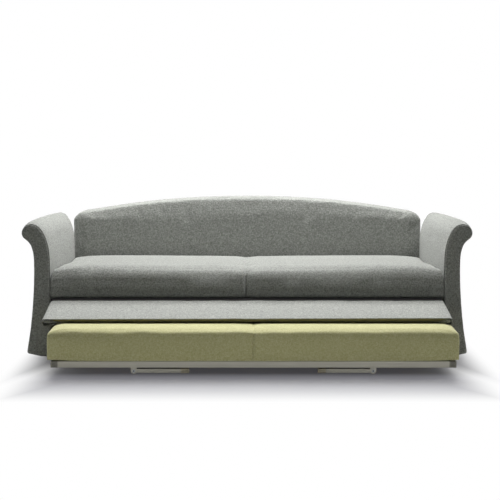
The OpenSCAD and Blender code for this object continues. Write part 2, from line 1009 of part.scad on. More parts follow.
// The fabric sleeve over the board, open at its front hem
module flap_cover() {
    color(fabric_grey)
        on_flap()
            upright(-flap_l, -flap_rear)
                difference() {
                    flat_oval(flap_half_w, -flap_under, flap_cover_t);
                    flat_oval(flap_half_w - flap_cover_t, -flap_board_t, 0);
                }
}

module flap_end_rolls() {
    color(fabric_grey)
        on_flap()
            for (side = [-1, 1])
                rod_y(flap_roll_r, side * flap_roll_x, -flap_board_t / 2, -flap_l + fit, -flap_rear);
}

// Chassis of the pull-out bed

block_x0 = chassis_half_w - corner_w;
spigot_l = 30;

module chassis_cross_rail(y0) {
    tube_x([-block_x0, y0, chassis_z], [block_x0, y0 + rail_d, rail_top], rail_wall);
}

module trundle_front_rail() {
    color(steel)
        on_trundle()
            chassis_cross_rail(trundle_y0);
}

module trundle_rear_rail() {
    color(steel)
        on_trundle()
            chassis_cross_rail(trundle_y1 - rail_d);
}

module trundle_side_rails() {
    color(steel)
        on_trundle()
            for (side = [-1, 1])
                translate([side * (chassis_half_w - rail_d / 2) - rail_d / 2, 0, 0])
                    tube_y([0, trundle_y0 + rail_d, chassis_z],
                           [rail_d, trundle_y1 - rail_d, rail_top], rail_wall);
}

// A corner block at the lower right front, with a spigot into each rail and a plugged screw hole
module corner_block() {
    inner = rail_wall + slip;
    plug_r = rail_h / 5;
    difference() {
        union() {
            block([block_x0, 0, chassis_z], [chassis_half_w, rail_d, rail_top]);
            block([block_x0 - spigot_l, inner, chassis_z + inner],
                  [block_x0 + over, rail_d - inner, rail_top - inner]);
            block([chassis_half_w - rail_d + inner, rail_d - over, chassis_z + inner],
                  [chassis_half_w - inner, rail_d + spigot_l, rail_top - inner]);
        }
        rod_y(plug_r, block_x0 + corner_w / 2, chassis_z + rail_h / 2, -over, rail_wall);
    }
}

module trundle_corner_blocks() {
    color(dark_steel)
        on_trundle()
            for (side = [0, 1]) {
                mirror([side, 0, 0])
                    translate([0, trundle_y0, 0])
                        corner_block();
                mirror([side, 0, 0])
                    translate([0, trundle_y1, 0])
                        mirror([0, 1, 0])
                            corner_block();
            }
}

module trundle_slats() {
    color(timber)
        on_trundle()
            slat_row(chassis_half_w - rail_d, trundle_y0 + rail_d, trundle_y1 - rail_d, rail_top);
}

module trundle_slat_holders() {
    color(black_plastic)
        on_trundle()
            holder_rows(chassis_half_w - rail_d, trundle_y0 + rail_d, trundle_y1 - rail_d, rail_top);
}

// The second mattress lies on the chassis and its slats
module trundle_mattress() {
    crown_run = flap_l / 2 - trundle_edge_r / 2;
    color(fabric_green)
        on_trundle()
            translate([0, (trundle_y0 + trundle_y1) / 2, trundle_mattress_z])
                mattress(2 * trundle_half_w, trundle_d, trundle_mattress_t, trundle_crown,
                         trundle_edge_r, mattress_base_r, mattress_bulge, crown_run,
                         mattress_corner_r, trundle_seam_depth, seam_w);
}

// Folding legs

post_back = pivot_drop * 2 / 3;

// A bracket under a rail, drawn about its pivot: two round-ended cheeks and the web that joins them
module leg_bracket() {
    for (side = [-1, 1])
        translate([0, side * (cheek_gap + cheek_t) / 2, 0])
            upright(-cheek_t / 2, cheek_t / 2)
                difference() {
                    union() {
                        circle(bracket_r);
                        translate([-bracket_r, 0])
                            square([2 * bracket_r, pivot_drop]);
                    }
                    circle(pivot_r + pin_fit / 2);
                }
    block([-bracket_r, -cheek_gap / 2, pivot_drop - bracket_web_t],
          [bracket_r, cheek_gap / 2, pivot_drop]);
}

// A tubular pivot pin, spread over the outside of both cheeks
module pivot_pin() {
    difference() {
        union() {
            rod_y(pivot_r, 0, 0, -cheek_out - flange_t, cheek_out + flange_t);
            rod_y(flange_r, 0, 0, -cheek_out - flange_t, -cheek_out);
            rod_y(flange_r, 0, 0, cheek_out, cheek_out + flange_t);
        }
        rod_y(pivot_r - pivot_wall, 0, 0, -cheek_out - flange_t - over, cheek_out + flange_t + over);
    }
}

// Puts a shape at both ends of one leg frame's pivot axis; side is -1 for the left frame
module at_pivots(side) {
    for (y = [front_leg_y, rear_leg_y])
        translate([side * leg_pivot_x, y, pivot_z])
            children();
}

module leg_brackets() {
    color(steel)
        on_trundle()
            for (side = [-1, 1])
                at_pivots(side)
                    leg_bracket();
}

module leg_pivot_pins() {
    color(zinc)
        on_trundle()
            for (side = [-1, 1])
                at_pivots(side)
                    pivot_pin();
}

post_l = leg_l - foot_l / 5;

// One post of a leg frame, drawn from its pivot inwards along +X
module leg_post() {
    half = leg_tube / 2;
    difference() {
        tube_x([-post_back, -half, -half], [post_l, half, half], leg_wall);
        rod_y(pivot_r + pin_fit, 0, 0, -half - over, half + over);
    }
}

// A plastic foot, pushed over the end of a post
module leg_foot() {
    half = leg_tube / 2 + leg_wall;
    hole = leg_tube / 2 + slip;
    difference() {
        block([leg_l - foot_l, -half, -half], [leg_l, half, half]);
        block([leg_l - foot_l - over, -hole, -hole], [post_l + slip, hole, hole]);
    }
}

module leg_posts(side) {
    color(steel)
        on_trundle()
            at_pivots(side)
                rotate([0, 0, side < 0 ? 0 : 180])
                    leg_post();
}

module leg_feet(side) {
    color(black_plastic)
        on_trundle()
            at_pivots(side)
                rotate([0, 0, side < 0 ? 0 : 180])
                    leg_foot();
}

// The bar that joins the front post to the rear post
module leg_crossbar(side) {
    half = leg_tube / 2;
    x = side * (leg_pivot_x - crossbar_x);
    color(steel)
        on_trundle()
            tube_y([x - half, front_leg_y + half, pivot_z - half],
                   [x + half, rear_leg_y - half, pivot_z + half], leg_wall);
}

module left_leg_posts() {
    leg_posts(-1);
}

module left_leg_crossbar() {
    leg_crossbar(-1);
}

module left_leg_feet() {
    leg_feet(-1);
}

module right_leg_posts() {
    leg_posts(1);
}

module right_leg_crossbar() {
    leg_crossbar(1);
}

module right_leg_feet() {
    leg_feet(1);
}

// Rollers

roller_gap = 1;
fork_half = roller_w / 2 + roller_gap;
roller_y0 = trundle_y0 + roller_front_y;
roller_y1 = trundle_y1 - roller_rear_y;
roller_x = chassis_half_w - rail_d / 2;
axle_flange_t = 1.5;

module at_roller(side, y) {
    on_trundle()
        translate([side * roller_x, y, roller_r])
            children();
}

// A fork under a side rail: two cheeks and the plate against the rail
module fork() {
    plate_z = chassis_z - roller_r - fork_t;
    low_r = axle_r * 2;
    for (side = [-1, 1])
        translate([side * (fork_half + fork_t / 2), 0, 0])
            sideways(-fork_t / 2, fork_t / 2)
                difference() {
                    union() {
                        circle(low_r);
                        polygon([[-low_r, 0], [low_r, 0], [fork_l / 2, plate_z], [fork_l / 2, plate_z + fork_t],
                                 [-fork_l / 2, plate_z + fork_t], [-fork_l / 2, plate_z]]);
                    }
                    circle(axle_r + pin_fit / 2);
                }
    block([-fork_half, -fork_l / 2, plate_z], [fork_half, fork_l / 2, plate_z + fork_t]);
}

module roller_forks() {
    color(zinc)
        for (side = [-1, 1], y = [roller_y0, roller_y1])
            at_roller(side, y)
                fork();
}

// An axle with its head outside and its spread end inside the fork
module roller_axles() {
    end = fork_half + fork_t;
    color(zinc)
        for (side = [-1, 1], y = [roller_y0, roller_y1])
            at_roller(side, y) {
                rod_x(axle_r, 0, 0, -end - axle_flange_t, end + axle_flange_t);
                rod_x(axle_r * 1.5, 0, 0, -end - axle_flange_t, -end);
                rod_x(axle_r * 1.5, 0, 0, end, end + axle_flange_t);
            }
}

// A moulded roller: hub, thinner web and rounded tread, turned about X
module roller() {
    hw = roller_w / 2;
    web = hw / 2;
    hub_r = axle_r * 2;
    rim_r = roller_r * 0.75;
    bore = axle_r + pin_fit;
    rotate([0, 90, 0])
        rotate_extrude()
            polygon([
                [bore, -hw], [hub_r, -hw], [hub_r, -web], [rim_r, -web], [rim_r, -hw],
                [roller_r * 0.95, -hw], [roller_r, -web], [roller_r, web], [roller_r * 0.95, hw],
                [rim_r, hw], [rim_r, web], [hub_r, web], [hub_r, hw], [bore, hw]
            ]);
}

module front_left_roller() {
    color(black_plastic)
        at_roller(-1, roller_y0)
            roller();
}

module front_right_roller() {
    color(black_plastic)
        at_roller(1, roller_y0)
            roller();
}

module rear_left_roller() {
    color(black_plastic)
        at_roller(-1, roller_y1)
            roller();
}

module rear_right_roller() {
    color(black_plastic)
        at_roller(1, roller_y1)
            roller();
}

left_arm_frame();
left_arm_wrap();
left_arm_front_panel();
left_arm_rear_panel();
left_arm_welt();
right_arm_frame();
right_arm_wrap();
right_arm_front_panel();
right_arm_rear_panel();
right_arm_welt();
arm_glides();
arm_bolts();
back_frame_part();  // back_frame
back_band();
back_front_pad();
back_lower_panel();
back_rear_panel();
back_glides();
back_bolts();
seat_front_rail();
seat_rear_rail();
seat_side_rails();
seat_slats();
seat_slat_holders();
seat_mattress();
flap_hinge_fixed_leaves();
flap_hinge_pins();
flap_hinge_moving_leaves();
flap_board();
flap_cover();
flap_end_rolls();
trundle_front_rail();
trundle_rear_rail();
trundle_side_rails();
trundle_corner_blocks();
trundle_slats();
trundle_slat_holders();
trundle_mattress();
leg_brackets();
leg_pivot_pins();
roller_forks();
roller_axles();
left_leg_posts();
left_leg_crossbar();
left_leg_feet();
right_leg_posts();
right_leg_crossbar();
right_leg_feet();
front_left_roller();
front_right_roller();
rear_left_roller();
rear_right_roller();
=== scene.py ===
"""Sofa bed with scroll arms, an arched back, a long seat mattress, a hinged front flap and a pull-out bed."""

import json
import math

import bmesh
import bpy
from mathutils import Matrix, Vector, noise


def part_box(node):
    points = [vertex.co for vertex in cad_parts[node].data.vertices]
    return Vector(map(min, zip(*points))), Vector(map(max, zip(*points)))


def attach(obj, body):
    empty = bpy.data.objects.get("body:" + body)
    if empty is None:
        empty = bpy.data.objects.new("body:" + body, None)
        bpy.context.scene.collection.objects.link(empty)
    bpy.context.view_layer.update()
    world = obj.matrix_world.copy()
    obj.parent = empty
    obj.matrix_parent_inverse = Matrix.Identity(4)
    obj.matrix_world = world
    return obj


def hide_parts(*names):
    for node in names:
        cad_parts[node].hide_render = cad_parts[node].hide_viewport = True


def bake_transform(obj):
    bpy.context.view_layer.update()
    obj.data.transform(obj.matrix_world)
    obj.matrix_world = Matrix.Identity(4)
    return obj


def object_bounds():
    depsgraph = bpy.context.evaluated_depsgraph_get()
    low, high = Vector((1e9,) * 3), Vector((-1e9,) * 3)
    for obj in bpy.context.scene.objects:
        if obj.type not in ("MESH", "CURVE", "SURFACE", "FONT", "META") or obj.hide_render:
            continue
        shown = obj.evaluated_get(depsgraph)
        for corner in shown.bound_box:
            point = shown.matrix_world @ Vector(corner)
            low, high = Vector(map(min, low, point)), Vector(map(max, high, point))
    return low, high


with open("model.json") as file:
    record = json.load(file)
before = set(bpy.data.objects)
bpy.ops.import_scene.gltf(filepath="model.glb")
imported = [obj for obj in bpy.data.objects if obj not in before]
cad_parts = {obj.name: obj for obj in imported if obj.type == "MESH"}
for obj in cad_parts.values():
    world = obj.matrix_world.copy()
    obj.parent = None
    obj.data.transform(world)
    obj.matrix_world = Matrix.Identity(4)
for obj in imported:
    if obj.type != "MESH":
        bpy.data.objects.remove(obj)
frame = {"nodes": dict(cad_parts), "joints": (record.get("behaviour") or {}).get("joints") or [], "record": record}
cad_low, cad_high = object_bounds()
MM = 0.001

# Timber frames of the arms and the back: sawn poplar boards, battens and a round rod in each scroll,
# glued and screwed together. Foam and fabric cover them on every side.

POPLAR_PALE = "#dcc59c"
POPLAR_STREAK = "#b4926a"
GRAIN_STRETCH = 30


def linear(code):
    """Linear colour of an sRGB hex code"""
    shares = [int(code[i:i + 2], 16) / 255 for i in (1, 3, 5)]
    return [s / 12.92 if s <= 0.04045 else ((s + 0.055) / 1.055) ** 2.4 for s in shares] + [1]


def add(tree, kind, inputs=None, **settings):
    """Adds a node with its settings; each input is a value, or the socket that it is linked from"""
    node = tree.nodes.new(kind)
    for name, value in settings.items():
        setattr(node, name, value)
    for socket, value in (inputs or {}).items():
        if isinstance(value, bpy.types.NodeSocket):
            tree.links.new(value, node.inputs[socket])
        else:
            node.inputs[socket].default_value = value
    return node


def start_finish(name, roughness, metallic=0.0):
    """A new material, its node tree, its shader and the object coordinates that its patterns follow"""
    material = bpy.data.materials.new(name)
    material.use_nodes = True
    tree = material.node_tree
    shader = tree.nodes["Principled BSDF"]
    shader.inputs["Roughness"].default_value = roughness
    shader.inputs["Metallic"].default_value = metallic
    return material, tree, shader, add(tree, "ShaderNodeTexCoord").outputs["Object"]


def colour_it(tree, shader, share, low, high):
    """Links the base colour to a mix of two hex colours"""
    tone = add(tree, "ShaderNodeMix", {0: share, 6: linear(low), 7: linear(high)}, data_type="RGBA")
    tree.links.new(tone.outputs[2], shader.inputs["Base Color"])


def relief(tree, shader, height, depth_mm, strength=1.0):
    """Gives the surface a bump of a real depth"""
    bump = add(tree, "ShaderNodeBump", {"Height": height, "Distance": depth_mm * MM, "Strength": strength})
    tree.links.new(bump.outputs["Normal"], shader.inputs["Normal"])


def wood(name, pale, streak, along, grain_mm, relief_mm, roughness):
    """Streaks of early and late wood, which run along one axis far longer than they are wide"""
    material, tree, shader, place = start_finish(name, roughness)
    scale = [1 / (grain_mm * MM)] * 3
    scale["XYZ".index(along)] /= GRAIN_STRETCH
    grain = add(tree, "ShaderNodeMapping", {"Vector": place, "Scale": scale}).outputs["Vector"]
    streaks = add(tree, "ShaderNodeTexNoise", {"Vector": grain, "Scale": 1.0, "Detail": 4.0,
                                               "Roughness": 0.65}).outputs["Fac"]
    share = add(tree, "ShaderNodeMapRange", {"Value": streaks, "From Min": 0.3, "From Max": 0.7})
    colour_it(tree, shader, share.outputs["Result"], pale, streak)
    relief(tree, shader, streaks, relief_mm)
    return material


def dress(node, material):
    """A CAD node that is right as it is gets its finish"""
    made = frame["nodes"][node]
    made.data.materials.clear()
    made.data.materials.append(material)


sawn_poplar = wood("sawn_poplar", POPLAR_PALE, POPLAR_STREAK, along="Z", grain_mm=5, relief_mm=0.5,
                   roughness=0.75)
for frame_node in ("left_arm_frame", "right_arm_frame", "back_frame"):
    dress(frame_node, sawn_poplar)

# Seat frame: four rectangular steel tubes under black enamel, the two side rails welded between the
# front and the rear one. The front rail is let in on top for the leaves of the flap's hinges.

ENAMEL_BLACK = "#1b1a19"
ENAMEL_WORN = "#2b2a28"
TUBE_EDGE_MM = 2.5
LET_IN_EDGE_MM = 1.2
MERGE_MM = 0.01
SHARP_ANGLE = 35

body_of = {n: body for body, nodes in frame["record"]["behaviour"]["bodies"].items() for n in nodes}


def speckled(name, low, high, grain_mm, relief_mm, roughness):
    """A coated or moulded surface: an even colour with a fine grain in tone and in height"""
    material, tree, shader, place = start_finish(name, roughness)
    grain = add(tree, "ShaderNodeTexNoise", {"Vector": place, "Scale": 1 / (grain_mm * MM), "Detail": 3.0})
    colour_it(tree, shader, grain.outputs["Fac"], low, high)
    relief(tree, shader, grain.outputs["Fac"], relief_mm)
    return material


def merged(node):
    """A bmesh of a CAD node, its loose triangles merged and its flat faces made whole"""
    bm = bmesh.new()
    bm.from_mesh(frame["nodes"][node].data)
    bmesh.ops.remove_doubles(bm, verts=bm.verts, dist=MERGE_MM * MM)
    bmesh.ops.dissolve_limit(bm, angle_limit=math.radians(1), verts=bm.verts, edges=bm.edges)
    return bm


def piece(bm, name, material, body, nodes=(), wall_mm=0, levels=0):
    """Makes a bmesh a piece of the sofa; a sheet gets a wall, and a soft form a subdivision"""
    for face in bm.faces:
        face.smooth = True
    mesh = bpy.data.meshes.new(name)
    bm.to_mesh(mesh)
    bm.free()
    mesh.materials.append(material)
    made = bpy.data.objects.new(name, mesh)
    bpy.context.scene.collection.objects.link(made)
    if wall_mm:
        wall = made.modifiers.new("wall", "SOLIDIFY")
        wall.thickness = wall_mm * MM
        wall.offset = -1
    if levels:
        fine = made.modifiers.new("fine", "SUBSURF")
        fine.levels = fine.render_levels = levels
    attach(made, body)
    if nodes:
        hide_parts(*nodes)
    return made


def eased(node, material, edge_mm, bm=None):
    """A rigid node with the small round edges of the real piece: a copy, bevelled, stands for it"""
    made = piece(bm or merged(node), node + "_finished", material, body_of[node], [node])
    edge = made.modifiers.new("edge", "BEVEL")
    edge.width = edge_mm * MM
    edge.segments = 2
    edge.limit_method = "ANGLE"
    edge.angle_limit = math.radians(SHARP_ANGLE)
    made.modifiers.new("even", "WEIGHTED_NORMAL").keep_sharp = True
    return made


black_enamel = speckled("black_enamel", ENAMEL_BLACK, ENAMEL_WORN, grain_mm=4, relief_mm=0.1, roughness=0.38)
eased("seat_front_rail", black_enamel, LET_IN_EDGE_MM)
for rail_node in ("seat_rear_rail", "seat_side_rails"):
    eased(rail_node, black_enamel, TUBE_EDGE_MM)

# Slats: strips of laminated beech, pressed to an arc and clear-lacquered, under both mattresses. Their
# ends sit in moulded polypropylene pockets that are riveted to the rails.

BEECH_PALE = "#d9b98a"
BEECH_STREAK = "#b98f5d"
MOULDED_BLACK = "#1a1918"
MOULDED_GREY = "#262523"
SLAT_EDGE_MM = 1.5
MOULDED_EDGE_MM = 0.8

laminated_beech = wood("laminated_beech", BEECH_PALE, BEECH_STREAK, along="Y", grain_mm=4, relief_mm=0.15,
                       roughness=0.42)
black_polypropylene = speckled("moulded_polypropylene", MOULDED_BLACK, MOULDED_GREY, grain_mm=1.2,
                               relief_mm=0.15, roughness=0.5)
for slat_node in ("seat_slats", "trundle_slats"):
    eased(slat_node, laminated_beech, SLAT_EDGE_MM)
for holder_node in ("seat_slat_holders", "trundle_slat_holders"):
    eased(holder_node, black_polypropylene, MOULDED_EDGE_MM)

# Glides, bolts and hinge metal: turned black polypropylene discs that are nailed under the timber, and
# zinc-plated steel for what bolts and hinges the sofa together.

ZINC_PALE = "#b9bdc0"
ZINC_DARK = "#8e9396"
ZINC_CRYSTAL_MM = 4
ZINC_WEAR_MM = 18
PLATED_EDGE_MM = 0.4

for glide_node in ("arm_glides", "back_glides"):
    eased(glide_node, black_polypropylene, MOULDED_EDGE_MM)


def zinc_plating():
    """Zinc plating shows crystals a few millimetres wide, and wear that dulls its gloss here and there"""
    material, tree, shader, place = start_finish("zinc_plate", 0.35, 1.0)
    crystals = add(tree, "ShaderNodeTexVoronoi", {"Vector": place, "Scale": 1 / (ZINC_CRYSTAL_MM * MM)})
    colour_it(tree, shader, crystals.outputs["Distance"], ZINC_PALE, ZINC_DARK)
    wear = add(tree, "ShaderNodeTexNoise", {"Vector": place, "Scale": 1 / (ZINC_WEAR_MM * MM), "Detail": 3.0})
    dull = add(tree, "ShaderNodeMapRange", {"Value": wear.outputs["Fac"], "To Min": 0.25, "To Max": 0.5})
    tree.links.new(dull.outputs["Result"], shader.inputs["Roughness"])
    return material


zinc_plate = zinc_plating()
for plated_node in ("arm_bolts", "back_bolts", "flap_hinge_fixed_leaves", "flap_hinge_pins",
                    "flap_hinge_moving_leaves"):
    eased(plated_node, zinc_plate, PLATED_EDGE_MM)

# Arms: a foam-backed wrap of woven grey fabric round the frame, a domed panel on the front and a flat
# one on the rear, both sewn in, and a welt along the front seam from one side of the foot to the other.

GREY_PALE = "#adafa9"
GREY_MID = "#8c8e89"
GREY_DARK = "#6b6d68"
THREAD_MM = 2.4
YARN_MM = 3.2
YARN_STRETCH = 4
FLECK_MM = 8
WEAVE_RELIEF_MM = 0.35
# Sharp corners of an outline are rounded, and its longer sides divided
CORNER_MM = 8
LONGEST_MM = 28
WRAP_STATIONS_MM = [0, 3, 7, 12, 20, 32]
STATION_MM = 34
ARM_ROLLS_MM = (6, 4)
ARM_PUFF_MM = 1
PUFF_REACH_MM = 60
# Rings of a panel from its seam inwards: the step, and the height over the seam's plane
PANEL_RINGS_MM = [[6, 3], [1.5, 0], [2, -6.5], [3.5, -10.5], [6, -13], [9, -14]]
REAR_RINGS_MM = [[4, -2], [4, -0.5], [8, 0.8], [12, 1.6]]
WRAP_WALL_MM = 9
PANEL_WALL_MM = 3
WELT_R_MM = 3
WELT_SUNK_MM = 2
WELT_GAP_MM = {"rise": 14, "inner": 9, "outer": 6}
FOOT_SIDE_MM = 20
ARM_TAPER_MM = 12
ARM_DROP_MM = 4
CREST_PUFF_MM = 14
CREST_REACH_MM = 35
# Where each change of the arm's form starts and ends: heights, and distances from the sofa's middle
CREST_Z = (0.58, 0.64)
UPPER_ARM_Z = (0.55, 0.65)
INNER_FACE_X = (1.09, 1.03)
OUTER_FACE_X = (1.045, 1.075)
SCROLL_LIFT_MM = 13
SCROLL_UNDER_Z = 0.575
SCROLL_REACH = 0.055
NECK_PULL_MM = 5
NECK_Z = (0.62, 0.54)
FOOT_Z = 0.15


def woven(name, pale, mid, dark):
    """Melange weave: each spun yarn varies from pale to dark along its length, over blurred flecks.
    Threads and yarn are drawn about twice as coarse as the real ones, so that they show in a render"""
    material, tree, shader, place = start_finish(name, 0.92)
    shader.inputs["Sheen Weight"].default_value = 0.25
    shader.inputs["Sheen Roughness"].default_value = 0.6
    shader.inputs["Specular IOR Level"].default_value = 0.25
    total = flecks = add(tree, "ShaderNodeTexNoise", {"Vector": place, "Scale": 1 / (FLECK_MM * MM),
                                                      "Detail": 2.0, "Roughness": 0.6}).outputs["Fac"]
    for axis in range(3):
        scale = [1 / (YARN_MM * MM)] * 3
        scale[axis] /= YARN_STRETCH
        run = add(tree, "ShaderNodeMapping", {"Vector": place, "Scale": scale}).outputs["Vector"]
        yarn = add(tree, "ShaderNodeTexNoise", {"Vector": run, "Scale": 1.0, "Detail": 1.0}).outputs["Fac"]
        total = add(tree, "ShaderNodeMath", {0: total, 1: yarn}).outputs["Value"]
    share = add(tree, "ShaderNodeMapRange", {"Value": total, "From Min": 1.55, "From Max": 2.45})
    ramp = add(tree, "ShaderNodeValToRGB", {"Fac": share.outputs["Result"]})
    ramp.color_ramp.elements[0].color = linear(dark)
    ramp.color_ramp.elements[1].color = linear(pale)
    ramp.color_ramp.elements.new(0.5).color = linear(mid)
    tree.links.new(ramp.outputs["Color"], shader.inputs["Base Color"])
    weave = flecks
    # A wave texture of scale 1 repeats every tau / 20 of a metre
    thread_scale = math.tau / 20 / (THREAD_MM * MM)
    for direction in "XYZ":
        threads = add(tree, "ShaderNodeTexWave", {"Vector": place, "Scale": thread_scale, "Distortion": 0.4,
                                                  "Detail": 0.0}, bands_direction=direction)
        weave = add(tree, "ShaderNodeMath", {0: weave, 1: threads.outputs["Fac"]}).outputs["Value"]
    relief(tree, shader, weave, WEAVE_RELIEF_MM, 0.8)
    return material


grey_weave = woven("grey_melange_weave", GREY_PALE, GREY_MID, GREY_DARK)


def clamp(value, low, high):
    return max(low, min(high, value))


def part_way(value, start, end):
    """How far a value has come from start to end, from 0 to 1"""
    return clamp((value - start) / (end - start), 0, 1)


def bell(gap, reach):
    """1 where the gap is nothing, falling smoothly towards 0 past its reach"""
    return math.exp(-(gap / reach) ** 2)


def uneven(point, size_mm, height_mm, seed=0.0):
    """How far hand-laid foam and fabric depart from the true form at a point, in metres"""
    return height_mm * MM * noise.noise(point / (size_mm * MM) + Vector((seed, -seed, 2 * seed)))


def outline_of(node):
    """The front outline of a plate as one face, its sharp corners rounded and its long sides divided"""
    bm = bmesh.new()
    bm.from_mesh(frame["nodes"][node].data)
    bmesh.ops.remove_doubles(bm, verts=bm.verts, dist=MERGE_MM * MM)
    bm.normal_update()
    bmesh.ops.delete(bm, geom=[f for f in bm.faces if f.normal.y > -0.9], context="FACES")
    bmesh.ops.dissolve_faces(bm, faces=bm.faces[:])
    sharp = [v for v in bm.verts if abs(v.calc_edge_angle(0)) > math.radians(SHARP_ANGLE)]
    bmesh.ops.bevel(bm, geom=sharp, offset=CORNER_MM * MM, offset_type="OFFSET", segments=3, profile=0.5,
                    affect="VERTICES", material=-1)
    while long_edges := [e for e in bm.edges if e.calc_length() > LONGEST_MM * MM]:
        bmesh.ops.subdivide_edges(bm, edges=long_edges, cuts=1)
    bm.normal_update()
    return bm


def front_face(bm):
    """The largest face of a bmesh"""
    return max(bm.faces, key=lambda f: f.calc_area())


def wrap_round(node, y_front, y_back, rolls_mm, puff_mm, roll_reach_mm=4):
    """Padded fabric round an outline from front to back, rolled in at both seams and a little uneven"""
    bm = outline_of(node)
    start = bm.verts[:][0].co.y
    bmesh.ops.translate(bm, verts=bm.verts, vec=(0, y_front - start, 0))
    bmesh.ops.delete(bm, geom=bm.faces[:], context="FACES_ONLY")
    depth = y_back - y_front
    ends = [s * MM for s in WRAP_STATIONS_MM]
    count = round((depth - 2 * ends[-1]) / (STATION_MM * MM))
    plain = [ends[-1] + (depth - 2 * ends[-1]) * k / count for k in range(1, count)]
    stations = ends + plain + [depth - s for s in reversed(ends)]
    edges = bm.edges[:]
    for near, far in zip(stations, stations[1:]):
        made = bmesh.ops.extrude_edge_only(bm, edges=edges)["geom"]
        moved = {g for g in made if isinstance(g, bmesh.types.BMVert)}
        edges = [g for g in made if isinstance(g, bmesh.types.BMEdge) and set(g.verts) <= moved]
        bmesh.ops.translate(bm, verts=list(moved), vec=(0, far - near, 0))
    bmesh.ops.recalc_face_normals(bm, faces=bm.faces)
    bm.normal_update()
    for v in bm.verts:
        to_seam = min(v.co.y - y_front, y_back - v.co.y)
        roll = rolls_mm[v.co.y - y_front > depth / 2] * MM * math.exp(-to_seam / (roll_reach_mm * MM))
        puff = puff_mm * MM * min(1, to_seam / (PUFF_REACH_MM * MM))
        v.co += v.normal * (puff - roll + uneven(v.co, 160, 2.2) + uneven(v.co, 45, 0.7, 5))
    return bm


def with_edges(faces):
    """Faces with their edges and corners, as a cut by a plane needs them"""
    return list(dict.fromkeys(g for f in faces for g in [f, *f.edges, *f.verts]))


def domed_panel(node, rings_mm, y_front, spacing_mm=30, turn=False):
    """A sewn-in panel: it starts sunk in its seam and rises over a few rings to a soft dome"""
    bm = outline_of(node)
    bmesh.ops.translate(bm, verts=bm.verts, vec=(0, y_front - bm.verts[:][0].co.y, 0))
    face = front_face(bm)
    rise = -1 if turn else 1
    for k, (step, height) in enumerate(rings_mm):
        rim = bmesh.ops.inset_region(bm, faces=[face], thickness=step * MM, use_even_offset=True)["faces"]
        for v in face.verts:
            v.co.y = y_front + rise * height * MM
        if k == 0:
            bmesh.ops.delete(bm, geom=rim, context="FACES")
    corners = [v.co.copy() for v in face.verts]
    for axis in (2, 0):
        low = min(p[axis] for p in corners)
        high = max(p[axis] for p in corners)
        cuts = int((high - low) / (spacing_mm * MM))
        across = Vector((axis == 0, 0, axis == 2))
        for k in range(1, cuts):
            wide = [f for f in bm.faces if f.calc_area() > (0.7 * spacing_mm * MM) ** 2]
            bmesh.ops.bisect_plane(bm, geom=with_edges(wide), dist=MERGE_MM * MM,
                                   plane_co=across * (low + (high - low) * k / cuts), plane_no=across)
    bm.normal_update()
    for v in bm.verts:
        v.co.y += uneven(v.co, 70, 1.2, 3)
    if turn:
        bmesh.ops.reverse_faces(bm, faces=bm.faces)
    return bm


def scroll_pull(point):
    """Where the wrap is stapled to the neck, it pulls the foam up under the scroll and in below it"""
    outside = part_way(abs(point.x), *OUTER_FACE_X)
    up = SCROLL_LIFT_MM * bell(point.z - SCROLL_UNDER_Z, SCROLL_REACH)
    inwards = NECK_PULL_MM * part_way(point.z, *NECK_Z) * clamp(point.z / FOOT_Z, 0.5, 1)
    return Vector((-math.copysign(inwards * outside * MM, point.x), 0, up * outside * MM))


def arm_form(bm, y_front, y_back, puffed=False):
    """The crest swells behind the front seam; towards the back the inner face stands further out"""
    bm.normal_update()
    for v in bm.verts:
        share = part_way(v.co.y, y_front, y_back)
        if puffed:
            crest = part_way(v.co.z, *CREST_Z) * clamp(v.normal.z + 0.35, 0, 1)
            behind = (1 - math.exp(-(v.co.y - y_front) / (CREST_REACH_MM * MM))) * (1 - share ** 3)
            v.co += v.normal * (CREST_PUFF_MM * MM * crest * behind)
        v.co += scroll_pull(v.co)
        taper = ARM_TAPER_MM * MM * share * part_way(abs(v.co.x), *INNER_FACE_X)
        v.co.x += math.copysign(taper, v.co.x)
        v.co.z -= ARM_DROP_MM * MM * share * part_way(v.co.z, *UPPER_ARM_Z)
    return bm


def welt_round(name, node, y_middle, nodes):
    """A cord in a bias strip, sewn into the front seam; it ends at both sides of the foot"""
    bm = outline_of(node)
    face = front_face(bm)
    bmesh.ops.inset_region(bm, faces=[face], thickness=WELT_R_MM * MM, use_even_offset=True)
    route = [v.co.copy() for v in face.verts]
    bm.free()
    foot_z = min(p.z for p in route) + WELT_GAP_MM["rise"] * MM
    inner_x = min(abs(p.x) for p in route) + WELT_GAP_MM["inner"] * MM
    outer_x = max(abs(p.x) for p in route if p.z < foot_z + FOOT_SIDE_MM * MM) - WELT_GAP_MM["outer"] * MM
    low = [k for k, p in enumerate(route) if p.z < foot_z and inner_x < abs(p.x) < outer_x]
    first = max(low, key=lambda k: (k + 1) % len(route) not in low)
    ordered = [route[(first + 1 + k) % len(route)] for k in range(len(route) - len(low))]
    curve = bpy.data.curves.new(name, "CURVE")
    curve.dimensions = "3D"
    curve.bevel_depth = WELT_R_MM * MM
    curve.bevel_resolution = 3
    curve.resolution_u = 3
    curve.use_fill_caps = True
    spline = curve.splines.new("BEZIER")
    spline.bezier_points.add(len(ordered) - 1)
    for point, p in zip(spline.bezier_points, ordered):
        point.co = Vector((p.x, y_middle, p.z)) + scroll_pull(p)
        point.handle_left_type = point.handle_right_type = "AUTO"
    bent = bpy.data.objects.new(name, curve)
    bpy.context.scene.collection.objects.link(bent)
    bpy.context.view_layer.update()
    bm = bmesh.new()
    bm.from_mesh(bent.to_mesh())
    bent.to_mesh_clear()
    bpy.data.objects.remove(bent)
    bmesh.ops.remove_doubles(bm, verts=bm.verts, dist=0.05 * MM)
    bmesh.ops.recalc_face_normals(bm, faces=bm.faces)
    piece(bm, name, grey_weave, "sofa", nodes)


